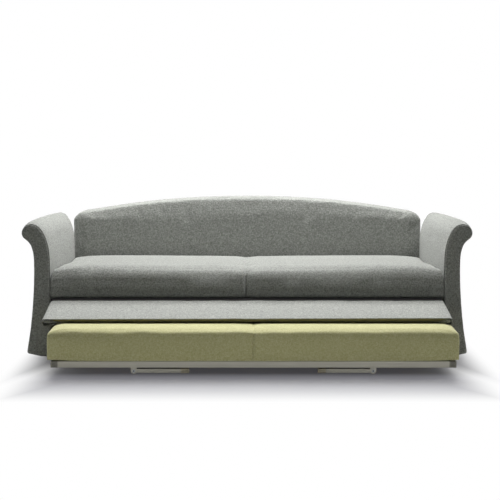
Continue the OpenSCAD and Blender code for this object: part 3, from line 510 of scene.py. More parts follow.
for side in ("left", "right"):
    front_node = side + "_arm_front_panel"
    rear_node = side + "_arm_rear_panel"
    arm_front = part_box(front_node)[0].y
    arm_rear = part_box(rear_node)[1].y
    arm_wrap = wrap_round(front_node, arm_front, arm_rear, ARM_ROLLS_MM, ARM_PUFF_MM)
    arm_form(arm_wrap, arm_front, arm_rear, puffed=True)
    piece(arm_wrap, side + "_arm_wrap_sewn", grey_weave, "sofa", [side + "_arm_wrap"],
          wall_mm=WRAP_WALL_MM, levels=1)
    front_panel = arm_form(domed_panel(front_node, PANEL_RINGS_MM, arm_front), arm_front, arm_rear)
    piece(front_panel, side + "_arm_front_sewn", grey_weave, "sofa", [front_node],
          wall_mm=PANEL_WALL_MM, levels=1)
    rear_panel = arm_form(domed_panel(front_node, REAR_RINGS_MM, arm_rear, turn=True), arm_front, arm_rear)
    piece(rear_panel, side + "_arm_rear_sewn", grey_weave, "sofa", [rear_node],
          wall_mm=PANEL_WALL_MM, levels=1)
    welt_round(side + "_arm_welt_sewn", front_node, arm_front + WELT_SUNK_MM * MM, [side + "_arm_welt"])

# Back: a foam band over the edges of the box frame, a crowned pad over its front, sewn to the band, a
# covered board behind the pull-out bed and a fabric panel over the rear.

BAND_ROLLS_MM = (9, 4)
BAND_ROLL_REACH_MM = 6.5
BAND_PUFF_MM = 0.5
BAND_UNDER_PAD_MM = 9
BACK_PANEL_SPACING_MM = 60
COVERED_EDGE_MM = 3
BACK_SPREAD_MM = 31
BACK_SPREAD_X = (0.93, 0.99)
# The share of the spread that the back has inside the arms, at the seat and at the scrolls
INSIDE_SHARES = (0.25, 0.42)
INSIDE_Z = (0.585, 0.625)
BACK_STEP_MM = 8
ARCH_FALL_MM = 5
ARCH_FALL_X = (0.5, 0.9)
CORNER_FALL_MM = 18
CORNER_FALL_X = (0.96, 1.02)
UPPER_BACK_Z = (0.6, 0.7)
BACK_VOXEL_MM = 13
PAD_SQUARING = 0.75
PAD_RISE_MM = 1
PAD_RISE_Z = (0.5, 0.7)
CLOTH_FRAMES = 20

band_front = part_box("back_band")[0].y
panel_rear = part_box("back_rear_panel")[1].y
pad_low, pad_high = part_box("back_front_pad")


def behind_arms(bm):
    """Behind the arms the back is a little wider than the seat, and its top slopes to the rear"""
    for v in bm.verts:
        low_share, high_share = INSIDE_SHARES
        inside = low_share + (high_share - low_share) * part_way(v.co.z, *INSIDE_Z)
        behind = inside + (1 - inside) * part_way(v.co.y, arm_rear - 4 * MM, arm_rear + 6 * MM)
        spread = BACK_SPREAD_MM * MM * behind * part_way(abs(v.co.x), *BACK_SPREAD_X)
        v.co.x += math.copysign(spread, v.co.x)
        fall = BACK_STEP_MM * part_way(v.co.y, pad_high.y - 14 * MM, pad_high.y - 4 * MM)
        fall += ARCH_FALL_MM * part_way(abs(v.co.x), *ARCH_FALL_X)
        fall += CORNER_FALL_MM * part_way(abs(v.co.x), *CORNER_FALL_X) ** 2
        v.co.z -= fall * MM * part_way(v.co.z, *UPPER_BACK_Z)
    return bm


back_band = wrap_round("back_rear_panel", band_front - BAND_UNDER_PAD_MM * MM, panel_rear, BAND_ROLLS_MM,
                       BAND_PUFF_MM, BAND_ROLL_REACH_MM)
piece(behind_arms(back_band), "back_band_sewn", grey_weave, "sofa", ["back_band"],
      wall_mm=WRAP_WALL_MM, levels=1)
back_rear = domed_panel("back_rear_panel", REAR_RINGS_MM, panel_rear, BACK_PANEL_SPACING_MM, turn=True)
piece(behind_arms(back_rear), "back_rear_sewn", grey_weave, "sofa", ["back_rear_panel"],
      wall_mm=PANEL_WALL_MM, levels=1)
eased("back_lower_panel", grey_weave, COVERED_EDGE_MM)


def loose_copy(name, mesh, material):
    """An object in the scene for a mesh that is still worked on"""
    made = bpy.data.objects.new(name, mesh)
    bpy.context.scene.collection.objects.link(made)
    mesh.materials.clear()
    mesh.materials.append(material)
    return made


def evaluated(made):
    """The mesh of an object with its modifiers applied"""
    graph = bpy.context.evaluated_depsgraph_get()
    return bpy.data.meshes.new_from_object(made.evaluated_get(graph))


def stuffed(node, material, voxel_mm, tuck_mm, cap_mm, base, room):
    """A soft solid in its stuffed form: remeshed, tucked in, then swollen by cloth under pressure.
    base says whether a point is held, and room gives the point that a moved point may reach"""
    bm = merged(node)
    mesh = bpy.data.meshes.new(node)
    bm.to_mesh(mesh)
    bm.free()
    work = loose_copy(node + "_work", mesh, material)
    voxels = work.modifiers.new("voxels", "REMESH")
    voxels.mode = "VOXEL"
    voxels.voxel_size = voxel_mm * MM
    work.data = evaluated(work)
    work.modifiers.clear()
    mesh = work.data
    mesh.update()
    rest = [v.co.copy() for v in mesh.vertices]
    held = [base(p) for p in rest]
    outward = [v.normal.copy() for v in mesh.vertices]
    start = [p if fixed else p - n * tuck_mm * MM for p, n, fixed in zip(rest, outward, held)]
    for v, p in zip(mesh.vertices, start):
        v.co = p
    pins = work.vertex_groups.new(name="held")
    pins.add([k for k, fixed in enumerate(held) if fixed], 1.0, "REPLACE")
    cloth = work.modifiers.new("cloth", "CLOTH")
    cloth.settings.vertex_group_mass = "held"
    cloth.settings.quality = 4
    cloth.settings.mass = 0.4
    cloth.settings.tension_stiffness = 12
    cloth.settings.compression_stiffness = 12
    cloth.settings.shear_stiffness = 6
    cloth.settings.bending_stiffness = 2.5
    cloth.settings.shrink_min = -0.012
    cloth.settings.use_pressure = True
    cloth.settings.uniform_pressure_force = 4
    cloth.settings.effector_weights.gravity = 0
    cloth.collision_settings.use_collision = False
    cloth.point_cache.frame_start = 1
    cloth.point_cache.frame_end = CLOTH_FRAMES
    for frame_number in range(1, CLOTH_FRAMES + 1):
        bpy.context.scene.frame_set(frame_number)
    swollen = evaluated(work)
    work.modifiers.clear()
    for v, old, new in zip(mesh.vertices, start, swollen.vertices):
        move = new.co - old
        far = move.length
        v.co = old + move * min(1, cap_mm * MM / far) if far > 0 else old
    bpy.context.scene.frame_set(1)
    for v, old, fixed in zip(mesh.vertices, rest, held):
        v.co = old if fixed else room(v.co)
    bm = bmesh.new()
    bm.from_mesh(mesh)
    bpy.data.objects.remove(work)
    return bm


def back_pad_room(p):
    return Vector((clamp(p.x, pad_low.x, pad_high.x), clamp(p.y, pad_low.y, pad_high.y), max(p.z, pad_low.z)))


back_pad = stuffed("back_front_pad", grey_weave, BACK_VOXEL_MM, tuck_mm=3, cap_mm=9,
                   base=lambda p: p.y > pad_high.y - 6 * MM or p.z < pad_low.z + 4 * MM, room=back_pad_room)
for pad_vert in back_pad.verts:
    forward = part_way(pad_vert.co.y, pad_high.y, pad_low.y)
    pad_vert.co.y = pad_high.y - (pad_high.y - pad_low.y) * forward ** PAD_SQUARING
    pad_vert.co.z += PAD_RISE_MM * MM * part_way(pad_vert.co.z, *PAD_RISE_Z)
back_pad_piece = piece(behind_arms(back_pad), "back_pad_stuffed", grey_weave, "sofa",
                       ["back_front_pad"], levels=1)

# Seat mattress: one long block of foam in a sewn cover of the grey weave. A seam across the middle of
# the cover draws it in, and the mattress is soft enough to sag a little along the arms.

SEAT_VOXEL_MM = 14
SEAM_X = -0.006
SEAM_WIDTH_MM = 5.5
SEAM_CUTS = (-2, -1, -0.4, 0, 0.4, 1, 2)
SEAM_DEPTH_MM = 11
SEAM_FILL_MM = 5
SEAM_FILL_REACH_MM = 28
# The stuffed form's wide roundings are drawn together to tighter ones, over a reach from the edge; the side
# is tighter at its top, and the front is tighter beside the arms
SEAT_ROUND_MM = 100
FRONT_ROUND_MM = 105
SIDE_TIGHT_MM = (17, 13)
FRONT_TIGHT_MM = (62, 34)
BACK_TIGHT_MM = 18
SIDE_REACH_MM = 280
FRONT_REACH_MM = 240
BACK_REACH_MM = 260
# Dips beside the arms: one along them, and two with a depth, a place from -1 at the front to 1 at the
# back, and a reach
ARM_REACH_MM = 110
ARM_DIP_MM = 25
ARM_DIPS = ((18, -1, 0.45), (50, 0.2, 0.36))
BACK_DIP_MM = 28
# The fill behind the front edge: how it rises, ends and fades, in the middle and beside the arms
EDGE_FILL_MM = 13
EDGE_TOP_MM = (73, 103)
FILL_RISE_MM = (33, 18)
FILL_END_MM = (165, 60)
FILL_FADE_MM = (80, 35)
# The front leans back near its top, most where the cover is pulled: at X, over a width, by so much
EDGE_LEAN_MM = 3
LEAN_Z_MM = (52, 92)
LEAN_Y_MM = (150, 40)
SEAT_PULLS = ((-0.19, 0.11, 9), (0.43, 0.27, 7))
PULL_Z_MM = (86, 118)
UNDERCUT_MM = 26
UNDERCUT_Z_MM = (20, 0)
UNDERCUT_Y_MM = (60, 0)

seat_low, seat_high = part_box("seat_mattress")
seat_middle = (seat_low.y + seat_high.y) / 2


def seat_room(p):
    return Vector((clamp(p.x, seat_low.x, seat_high.x), clamp(p.y, seat_low.y - 6 * MM, seat_high.y),
                   clamp(p.z, seat_low.z, seat_high.z + 8 * MM)))


def sewn_seam(bm, x, depth_mm, draw_mm, draw_width_mm, low, high):
    """A seam across a mattress cover: a narrow groove, and a wide shallow hollow on both sides of it"""
    for offset in SEAM_CUTS:
        near = [f for f in bm.faces if abs(f.calc_center_median().x - x) < 3 * SEAM_WIDTH_MM * MM]
        bmesh.ops.bisect_plane(bm, geom=with_edges(near), dist=0.2 * MM,
                               plane_co=(x + offset * SEAM_WIDTH_MM * MM, 0, 0), plane_no=(1, 0, 0))
    bm.normal_update()
    for v in bm.verts:
        gap = abs(v.co.x - x) / MM
        share = part_way(v.co.z, low.z, low.z + (high.z - low.z) / 4)
        groove = depth_mm * bell(gap, SEAM_WIDTH_MM) + draw_mm * math.exp(-gap / draw_width_mm)
        inward = Vector((0, v.normal.y, v.normal.z))
        v.co -= inward * groove * share * (0.8 + abs(v.normal.y)) * MM


def drawn(gap_mm, wide_mm, tight_mm, reach_mm):
    """A distance from an edge, after the wide rounding there is drawn together to a tighter one"""
    if gap_mm < wide_mm:
        return gap_mm * tight_mm / wide_mm
    if gap_mm < reach_mm:
        return tight_mm + (gap_mm - wide_mm) * (reach_mm - tight_mm) / (reach_mm - wide_mm)
    return gap_mm


def smooth(share):
    """An S-shaped rise from 0 to 1"""
    share = clamp(share, 0, 1)
    return share * share * (3 - 2 * share)


def between(pair, share):
    """The value that lies at a share of the way from the first to the second of a pair"""
    return pair[0] + (pair[1] - pair[0]) * share


def seat_form(bm):
    """The mattress fills the seat between the arms, and its top dips to the back and along both arms"""
    spare_x = seat_high.x - max(v.co.x for v in bm.verts)
    spare_y = min(v.co.y for v in bm.verts) - seat_low.y
    for v in bm.verts:
        height = part_way(v.co.z, seat_low.z, seat_high.z)
        to_side = (seat_high.x - spare_x - abs(v.co.x)) / MM
        to_front = (v.co.y - seat_low.y - spare_y) / MM
        to_back = (seat_high.y - v.co.y) / MM
        near_arm = bell(to_side, ARM_REACH_MM)
        limit = seat_high.x + ARM_TAPER_MM * MM * part_way(v.co.y, arm_front, arm_rear)
        from_side = drawn(to_side, SEAT_ROUND_MM, between(SIDE_TIGHT_MM, height), SIDE_REACH_MM)
        from_front = drawn(to_front, FRONT_ROUND_MM, between(FRONT_TIGHT_MM, near_arm), FRONT_REACH_MM)
        from_back = drawn(to_back, SEAT_ROUND_MM, BACK_TIGHT_MM, BACK_REACH_MM)
        v.co.x = math.copysign(limit - from_side * MM, v.co.x)
        v.co.y += (from_front - to_front) * MM - spare_y - (from_back - to_back) * MM * height
        deep = (v.co.y - seat_middle) / (seat_high.y - seat_middle)
        ends = sum(depth * bell(deep - place, reach) for depth, place, reach in ARM_DIPS)
        dip = (ARM_DIP_MM + ends) * near_arm - SEAM_FILL_MM * bell(v.co.x / MM, SEAM_FILL_REACH_MM)
        v.co.z -= (dip + BACK_DIP_MM * part_way(deep, -0.1, 1) ** 1.5) * MM * height ** 2
        from_front = (v.co.y - seat_low.y) / MM
        top = part_way((v.co.z - seat_low.z) / MM, *EDGE_TOP_MM)
        rise, end, fade = [between(pair, near_arm) for pair in (FILL_RISE_MM, FILL_END_MM, FILL_FADE_MM)]
        fill = EDGE_FILL_MM * smooth((from_front - 1) / rise) * smooth((end - from_front) / fade)
        v.co.z += fill * MM * top
        up = (v.co.z - seat_low.z) / MM
        leans = EDGE_LEAN_MM * part_way(up, *LEAN_Z_MM) * (1 - near_arm)
        for x, width, pull in SEAT_PULLS:
            leans += pull * bell(v.co.x - x, width) * part_way(up, *PULL_Z_MM)
        leans += uneven(Vector((v.co.x, 0, 0)), 90, 7, 4) / MM * top
        v.co.y += leans * MM * part_way(from_front, *LEAN_Y_MM)
        under = part_way(up, *UNDERCUT_Z_MM) ** 1.5 * part_way((v.co.y - seat_low.y) / MM, *UNDERCUT_Y_MM)
        v.co.y += UNDERCUT_MM * MM * under


seat = stuffed("seat_mattress", grey_weave, SEAT_VOXEL_MM, tuck_mm=6, cap_mm=14,
               base=lambda p: p.z < seat_low.z + 4 * MM, room=seat_room)
seat_form(seat)
sewn_seam(seat, SEAM_X, SEAM_DEPTH_MM, 1.5, 22, seat_low, seat_high)
seat_piece = piece(seat, "seat_mattress_stuffed", grey_weave, "sofa", ["seat_mattress"],
                   levels=1)

# Front flap: a board in a sleeve of the grey weave, made lighter as painted light, hinged to the front rail. The
# sleeve is open at its front hem and hangs down round a padded roll at each end, and webbing, near-black as
# painted shade, covers the hinges.

# The sleeve's colours: the grey weave's colours made lighter, painted light on the flap's top
PAINTED_LIGHT_PALE = "#b9bbb5"
PAINTED_LIGHT_MID = "#979994"
PAINTED_LIGHT_DARK = "#757772"
BOARD_OLIVE = "#9c9568"
BOARD_DARK = "#746f4e"
# Near-black webbing: painted shade of the gap under the seat's front
WEBBING_PAINTED_SHADE = "#0e0e0d"
WEBBING_PAINTED_SHADE_GREY = "#1a1918"
BOARD_EDGE_MM = 1.2
BOARD_NOSE_MM = 6
SLEEVE_MM = 3.2
SLEEVE_STEP_MM = 45
SLEEVE_ROW_MM = 26
SLEEVE_END_MM = 100
FLAP_DROOP_MM = {-1: 17, 1: 8}
HEM_MM = 18
HEM_LIFT_MM = 2.5
HEM_TWIST_MM = 3
HEM_REACH_MM = 236
STITCH_MM = 1.3
LOWER_HEM_BACK_MM = 16
ROLL_SWELL_MM = 1.5
ROLL_SWELL_REACH_MM = 9
ROLL_END_MM = 2.5
# A tuck's layers from front to back with how far each is drawn in, and its outline from the flap's end
# inwards with its upper and lower edge
TUCK_LEAN_MM = 4
TUCK_LAYERS_MM = ((-1.2, 1.6), (-0.2, 0.5), (3, 0), (7.4, 0), (8.4, 0.8))
TUCK_OUTLINE_MM = ((15, -2, -14), (17, -0.6, -17), (22, -0.2, -18.6), (29, -0.6, -18.4), (37, -2.5, -17.8),
                   (47, -5.5, -17.4), (58, -9, -17), (70, -12.4, -16.6), (79, -14, -15.6))
# The webbing's route: on the front rail, over the hinge pins, and forwards and up from them on the flap
STRIP_MM = 1.2
STRIP_END_MM = 6
STRIP_ON_RAIL = ((-0.262, 0.3105), (-0.274, 0.3108))
STRIP_OVER_PINS_MM = (4, 6.4)
STRIP_ON_FLAP_MM = ((2, 6.3), (6, 5.8), (10, 4.9), (14, 3.6), (18, 1.2))

flap_joint = next(j for j in frame["joints"] if j["name"] == "flap_hinge")
board_bm = merged("flap_board")
board_bm.normal_update()
board_up = max(board_bm.faces, key=lambda f: f.normal.z * f.calc_area()).normal.copy()
flap_angle = math.atan2(-board_up.y, board_up.z)
flap_place = Matrix.Translation(flap_joint["pos_m"]) @ Matrix.Rotation(flap_angle, 4, "X")
from_flap = flap_place.inverted()


def flap_extent(node):
    """Lowest and highest corner of a node in the flap's own frame"""
    corners = [from_flap @ v.co for v in frame["nodes"][node].data.vertices]
    return [Vector([pick(c[a] for c in corners) for a in range(3)]) for pick in (min, max)]


cover_low, cover_high = flap_extent("flap_cover")
board_low = flap_extent("flap_board")[0]
lower_front = [e for e in board_bm.edges
               if all(p.y < board_low.y + MM and p.z < board_low.z + MM
                      for p in (from_flap @ v.co for v in e.verts))]
bmesh.ops.bevel(board_bm, geom=lower_front, offset=BOARD_NOSE_MM * MM, offset_type="OFFSET", segments=4,
                profile=0.5, affect="EDGES", material=-1)
olive_board = wood("stained_plywood", BOARD_OLIVE, BOARD_DARK, along="X", grain_mm=3, relief_mm=0.2,
                   roughness=0.7)
eased("flap_board", olive_board, BOARD_EDGE_MM, board_bm)


def skin(bm, rings, capped=False):
    """Faces from each ring of corners to the next one, and over the first and the last"""
    for near, far in zip(rings, rings[1:]):
        for k in range(len(near)):
            following = (k + 1) % len(near)
            bm.faces.new((near[k], near[following], far[following], far[k]))
    if capped:
        bm.faces.new(rings[0])
        bm.faces.new(rings[-1][::-1])


def sleeve():
    """The flap's fabric sleeve: it lies on the board, turns round at both ends and comes back below it"""
    half = cover_high.x
    depth_mm = (cover_high.y - cover_low.y) / MM
    plain = half - SLEEVE_END_MM * MM
    steps = round(2 * plain / (SLEEVE_STEP_MM * MM))
    inner = [-plain + 2 * plain * k / steps for k in range(steps + 1)]
    deep = [0, 2, 8, HEM_MM - 3, HEM_MM, HEM_MM + 3]
    deep += [HEM_MM + 3 + SLEEVE_ROW_MM * k for k in range(1, 8)]
    bm = bmesh.new()
    rows = []
    for from_front in [d for d in deep if d < depth_mm] + [depth_mm]:
        fade = 1 - 0.6 * part_way(from_front, 0, 200)
        ends = {}
        for side, droop_mm in FLAP_DROOP_MM.items():
            bottom = cover_low.z - droop_mm * MM * fade
            middle = (cover_high.z + bottom) / 2
            radius = (cover_high.z - bottom) / 2
            bend = [(half - radius + radius * math.cos(a), middle + radius * math.sin(a))
                    for a in (math.radians(90 - 20 * k) for k in range(10))]
            back = [(half - radius - d * MM, bottom + (cover_low.z - bottom) * part_way(d, 0, 70) ** 1.4)
                    for d in (10, 22, 36, 54)]
            ends[side] = [(side * x, z) for x, z in bend + back]
        ring = [(x, cover_high.z) for x in inner] + ends[1]
        ring += [(x, cover_low.z) for x in reversed(inner)] + ends[-1][::-1]
        rows.append([bm.verts.new((x, cover_low.y + from_front * MM, z)) for x, z in ring])
    skin(bm, rows)
    bmesh.ops.recalc_face_normals(bm, faces=bm.faces)
    bm.normal_update()
    for v in bm.verts:
        from_front = (v.co.y - cover_low.y) / MM
        to_end = (half - abs(v.co.x)) / MM
        stitched = STITCH_MM * MM * bell(from_front - HEM_MM, 2.5)
        v.co += v.normal * (uneven(v.co, 120, 1.6) + uneven(v.co, 40, 0.5, 7) - stitched)
        above = part_way(v.co.z, cover_low.z, cover_high.z)
        lift = (HEM_LIFT_MM + HEM_TWIST_MM * v.co.x / half) * MM
        v.co.z += lift * part_way(from_front, HEM_REACH_MM, 0) * above
        if v.co.z < cover_low.z + 4 * MM:
            v.co.y += LOWER_HEM_BACK_MM * MM * part_way(to_end, 40, 100) * part_way(from_front, 60, 0)
    bmesh.ops.transform(bm, matrix=flap_place, verts=bm.verts)
    return bm


# The same grey weave as the arms, painted lighter: painted light on the flap
painted_light_weave = woven("grey_melange_weave_painted_light", PAINTED_LIGHT_PALE, PAINTED_LIGHT_MID, PAINTED_LIGHT_DARK)
piece(sleeve(), "flap_sleeve_sewn", painted_light_weave, "flap", ["flap_cover"], wall_mm=SLEEVE_MM,
      levels=1)


def end_rolls():
    """Padded rolls in the ends of the sleeve: turned-in fabric, slightly lumpy, with rounded ends"""
    low, high = flap_extent("flap_end_rolls")
    radius = (high.z - low.z) / 2
    middle = (low.z + high.z) / 2
    stations = [low.y + d * MM for d in (0, 0.8, 2.5, 5, 8)]
    stations += [low.y + 8 * MM + (high.y - low.y - 10 * MM) * k / 9 for k in range(1, 10)] + [high.y]
    turns = [math.tau * k / 16 for k in range(16)]
    bm = bmesh.new()
    for side in (-1, 1):
        rings = []
        for y in stations:
            to_end = min(y - low.y, high.y - y) / MM
            swell = ROLL_SWELL_MM * math.exp(-(y - low.y) / (ROLL_SWELL_REACH_MM * MM))
            share = math.sqrt(clamp(1 - (1 - part_way(to_end, 0, ROLL_END_MM)) ** 2, 0.25, 1))
            wide = (radius + swell * MM) * share
            x = side * (high.x - radius)
            rings.append([bm.verts.new((x + wide * math.cos(a), y, middle + wide * math.sin(a)))
                          for a in turns])
        skin(bm, rings, capped=True)
    bmesh.ops.recalc_face_normals(bm, faces=bm.faces)
    bm.normal_update()
    for v in bm.verts:
        v.co += v.normal * uneven(v.co, 22, 0.6)
    bmesh.ops.transform(bm, matrix=flap_place, verts=bm.verts)
    return bm


piece(end_rolls(), "flap_rolls_sewn", grey_weave, "flap", ["flap_end_rolls"], levels=1)


def tucks():
    """At each front corner the hem's spare fabric is folded over the board's edge and stitched down flat"""
    bm = bmesh.new()
    for side in (-1, 1):
        rings = []
        for y_mm, shrink in TUCK_LAYERS_MM:
            upper = [(d, above - shrink) for d, above, below in TUCK_OUTLINE_MM]
            lower = [(d, below + shrink if below + shrink < above - shrink else above)
                     for d, above, below in reversed(TUCK_OUTLINE_MM)]
            leaning = cover_low.y + (y_mm + TUCK_LEAN_MM) * MM
            places = [(d, leaning, z) for d, z in upper] + [(d, cover_low.y + y_mm * MM, z) for d, z in lower]
            rings.append([bm.verts.new((side * (cover_high.x - d * MM), y, z * MM)) for d, y, z in places])
        skin(bm, rings, capped=True)
    bmesh.ops.recalc_face_normals(bm, faces=bm.faces)
    bmesh.ops.triangulate(bm, faces=[f for f in bm.faces if len(f.verts) > 4])
    bmesh.ops.transform(bm, matrix=flap_place, verts=bm.verts)
    return bm


piece(tucks(), "flap_corner_tucks", grey_weave, "flap")


def hinge_strip():
    """A webbing strip over the hinge line, stapled to the front rail and sewn to the sleeve; its near-black colour
    is painted shade
    """
    half = cover_high.x - STRIP_END_MM * MM
    route = [Vector((0, y, z)) for y, z in STRIP_ON_RAIL]
    route.append(Vector(flap_joint["pos_m"]) + Vector((0, *STRIP_OVER_PINS_MM)) * MM)
    route += [flap_place @ Vector((0, -y * MM, z * MM)) for y, z in STRIP_ON_FLAP_MM]
    count = round(2 * half / (SLEEVE_STEP_MM * MM))
    bm = bmesh.new()
    rows = []
    for k in range(count + 1):
        x = -half + 2 * half * k / count
        rows.append([bm.verts.new((x, p.y, p.z + uneven(Vector((x, p.y, p.z)), 90, 0.7))) for p in route])
    for near, far in zip(rows, rows[1:]):
        for k in range(len(route) - 1):
            bm.faces.new((near[k], far[k], far[k + 1], near[k + 1]))
    bmesh.ops.recalc_face_normals(bm, faces=bm.faces)
    bm.normal_update()
    if sum(f.normal.z for f in bm.faces) < 0:
        bmesh.ops.reverse_faces(bm, faces=bm.faces)
    return bm


# The strip hides the hinges; its near-black colour is painted shade in the gap under the seat's front
painted_shade_webbing = speckled("painted_shade_webbing", WEBBING_PAINTED_SHADE, WEBBING_PAINTED_SHADE_GREY, grain_mm=1.5, relief_mm=0.4,
                         roughness=0.95)
strip_bm = hinge_strip()
bmesh.ops.solidify(strip_bm, geom=strip_bm.faces[:], thickness=STRIP_MM * MM)
for strip_face in strip_bm.faces:
    strip_face.smooth = True
strip_mesh = bpy.data.meshes.new("flap_hinge_strip")
strip_bm.to_mesh(strip_mesh)
strip_bm.free()
hinge_cover = loose_copy("flap_hinge_strip", strip_mesh, painted_shade_webbing)
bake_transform(hinge_cover)

# Chassis of the pull-out bed: rectangular steel tube under a metallic grey powder coat, joined at its
# corners by moulded nylon blocks whose spigots are pressed into the tube's open ends.

POWDER_PALE = "#b1afa3"
POWDER_DARK = "#9a988c"
NYLON_PALE = "#86857a"
NYLON_DARK = "#737268"
DRAW_MARKS_MM = (500, 4, 4)
POWDER_PEEL_MM = 1.5
BLOCK_EDGE_MM = 1.2


def powder_coat():
    """Metallic powder coat: a fine sparkle, the peel of baked powder, and long draw marks in the tube"""
    material, tree, shader, place = start_finish("metallic_powder_coat", 0.45, 0.6)
    scale = [1 / (size * MM) for size in DRAW_MARKS_MM]
    draw = add(tree, "ShaderNodeMapping", {"Vector": place, "Scale": scale}).outputs["Vector"]
    marks = add(tree, "ShaderNodeTexNoise", {"Vector": draw, "Scale": 1.0, "Detail": 3.0})
    colour_it(tree, shader, marks.outputs["Fac"], POWDER_DARK, POWDER_PALE)
    peel = add(tree, "ShaderNodeTexNoise", {"Vector": place, "Scale": 1 / (POWDER_PEEL_MM * MM),
                                            "Detail": 2.0})
    relief(tree, shader, peel.outputs["Fac"], 0.1)
    return material


metallic_powder = powder_coat()
grey_nylon = speckled("moulded_nylon", NYLON_DARK, NYLON_PALE, grain_mm=1.5, relief_mm=0.15, roughness=0.55)
for tube_node in ("trundle_front_rail", "trundle_rear_rail", "trundle_side_rails"):
    eased(tube_node, metallic_powder, TUBE_EDGE_MM)
eased("trundle_corner_blocks", grey_nylon, BLOCK_EDGE_MM)

# Folding legs: frames of square tube under the same powder coat, their brackets riveted under the
# chassis, with spread tubular pins as pivots and moulded caps pushed over the ends of the posts.

# Near-black with little gloss: painted shade in the ends of the hollow pivot pins
PLUG_PAINTED_SHADE = "#0c0c0b"
PLUG_PAINTED_SHADE_GREY = "#131312"
CAP_PALE = "#b8b199"
CAP_DARK = "#a59e87"
PLUG_DEPTH_MM = 1.2
PLUG_FIT_MM = 0.05
SHEET_EDGE_MM = 0.5
PIN_EDGE_MM = 0.3
LEG_EDGE_MM = 1.2
CAP_EDGE_MM = 1.5

moulded_cap = speckled("moulded_foot_cap", CAP_DARK, CAP_PALE, grain_mm=1.5, relief_mm=0.15, roughness=0.55)
eased("leg_brackets", metallic_powder, SHEET_EDGE_MM)
eased("leg_pivot_pins", zinc_plate, PIN_EDGE_MM)


def shade_plugs():
    """Black plugs pressed a little way into the open ends of the tubular pivots: painted shade of the hollow pins'
    insides
    """
    pins = bmesh.new()
    pins.from_mesh(frame["nodes"]["leg_pivot_pins"].data)
    bmesh.ops.remove_doubles(pins, verts=pins.verts, dist=MERGE_MM * MM)
    bm = bmesh.new()
    plugged = set()
    for first in pins.verts:
        if first in plugged:
            continue
        found = {first}
        queue = [first]
        while queue:
            near = {e.other_vert(v) for v in [queue.pop()] for e in v.link_edges} - found
            found |= near
            queue += near
        plugged |= found
        spots = [v.co for v in found]
        low = Vector([min(p[a] for p in spots) for a in range(3)])
        high = Vector([max(p[a] for p in spots) for a in range(3)])
        centre = (low + high) / 2
        bore = min(math.hypot(p.x - centre.x, p.z - centre.z) for p in spots)
        radius = bore - PLUG_FIT_MM * MM
        place = Matrix.Translation(centre) @ Matrix.Rotation(math.pi / 2, 4, "X")
        bmesh.ops.create_cone(bm, cap_ends=True, segments=24, radius1=radius, radius2=radius,
                              depth=high.y - low.y - 2 * PLUG_DEPTH_MM * MM, matrix=place)
    pins.free()
    painted_shade_rubber = speckled("rubber_painted_shade", PLUG_PAINTED_SHADE, PLUG_PAINTED_SHADE_GREY, grain_mm=1.2, relief_mm=0.1, roughness=0.9)
    painted_shade_rubber.node_tree.nodes["Principled BSDF"].inputs["Specular IOR Level"].default_value = 0.1
    piece(bm, "pivot_plugs_painted_shade", painted_shade_rubber, body_of["leg_pivot_pins"])


shade_plugs()
for side in ("left", "right"):
    eased(side + "_leg_posts", metallic_powder, LEG_EDGE_MM)
    eased(side + "_leg_crossbar", metallic_powder, LEG_EDGE_MM)
    eased(side + "_leg_feet", moulded_cap, CAP_EDGE_MM)

# Rollers: black polypropylene wheels on zinc-plated axles, in pressed zinc-plated forks that are riveted
# under the chassis's side rails.

eased("roller_forks", zinc_plate, SHEET_EDGE_MM)
eased("roller_axles", zinc_plate, PLATED_EDGE_MM)
for corner in ("front_left", "front_right", "rear_left", "rear_right"):
    eased(corner + "_roller", black_polypropylene, MOULDED_EDGE_MM)

# Mattress of the pull-out bed: foam in a fitted cover of pale green melange weave. Its corners are
# rounder than its edges, and the cover lifts a little off the chassis at the front corners.

GREEN_PALE = "#cfcda0"
GREEN_MID = "#c1be8c"
GREEN_DARK = "#b0ad78"
TRUNDLE_VOXEL_MM = 14
TRUNDLE_SEAM_MM = 5
TRUNDLE_SPREAD_MM = {-1: 5, 1: 1.2}
TRUNDLE_ROUND_MM = 100
TOP_ROUND_MM = (60, 28, 145)
CORNER_TIGHT_MM = (10, 65)
LIP_TIGHT_MM = (14, 36)
CORNER_REACH_MM = 300
LIP_REACH_MM = 260
CORNER_SLOPE_MM = 6
EDGE_SLOPE_MM = 5
COVER_LIFT_MM = 6

trundle_low, trundle_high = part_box("trundle_mattress")
trundle_middle = (trundle_low.x + trundle_high.x) / 2


def trundle_room(p):
    return Vector((clamp(p.x, trundle_low.x, trundle_high.x),
                   clamp(p.y, trundle_low.y - 2 * MM, trundle_high.y),
                   clamp(p.z, trundle_low.z, trundle_high.z + MM)))


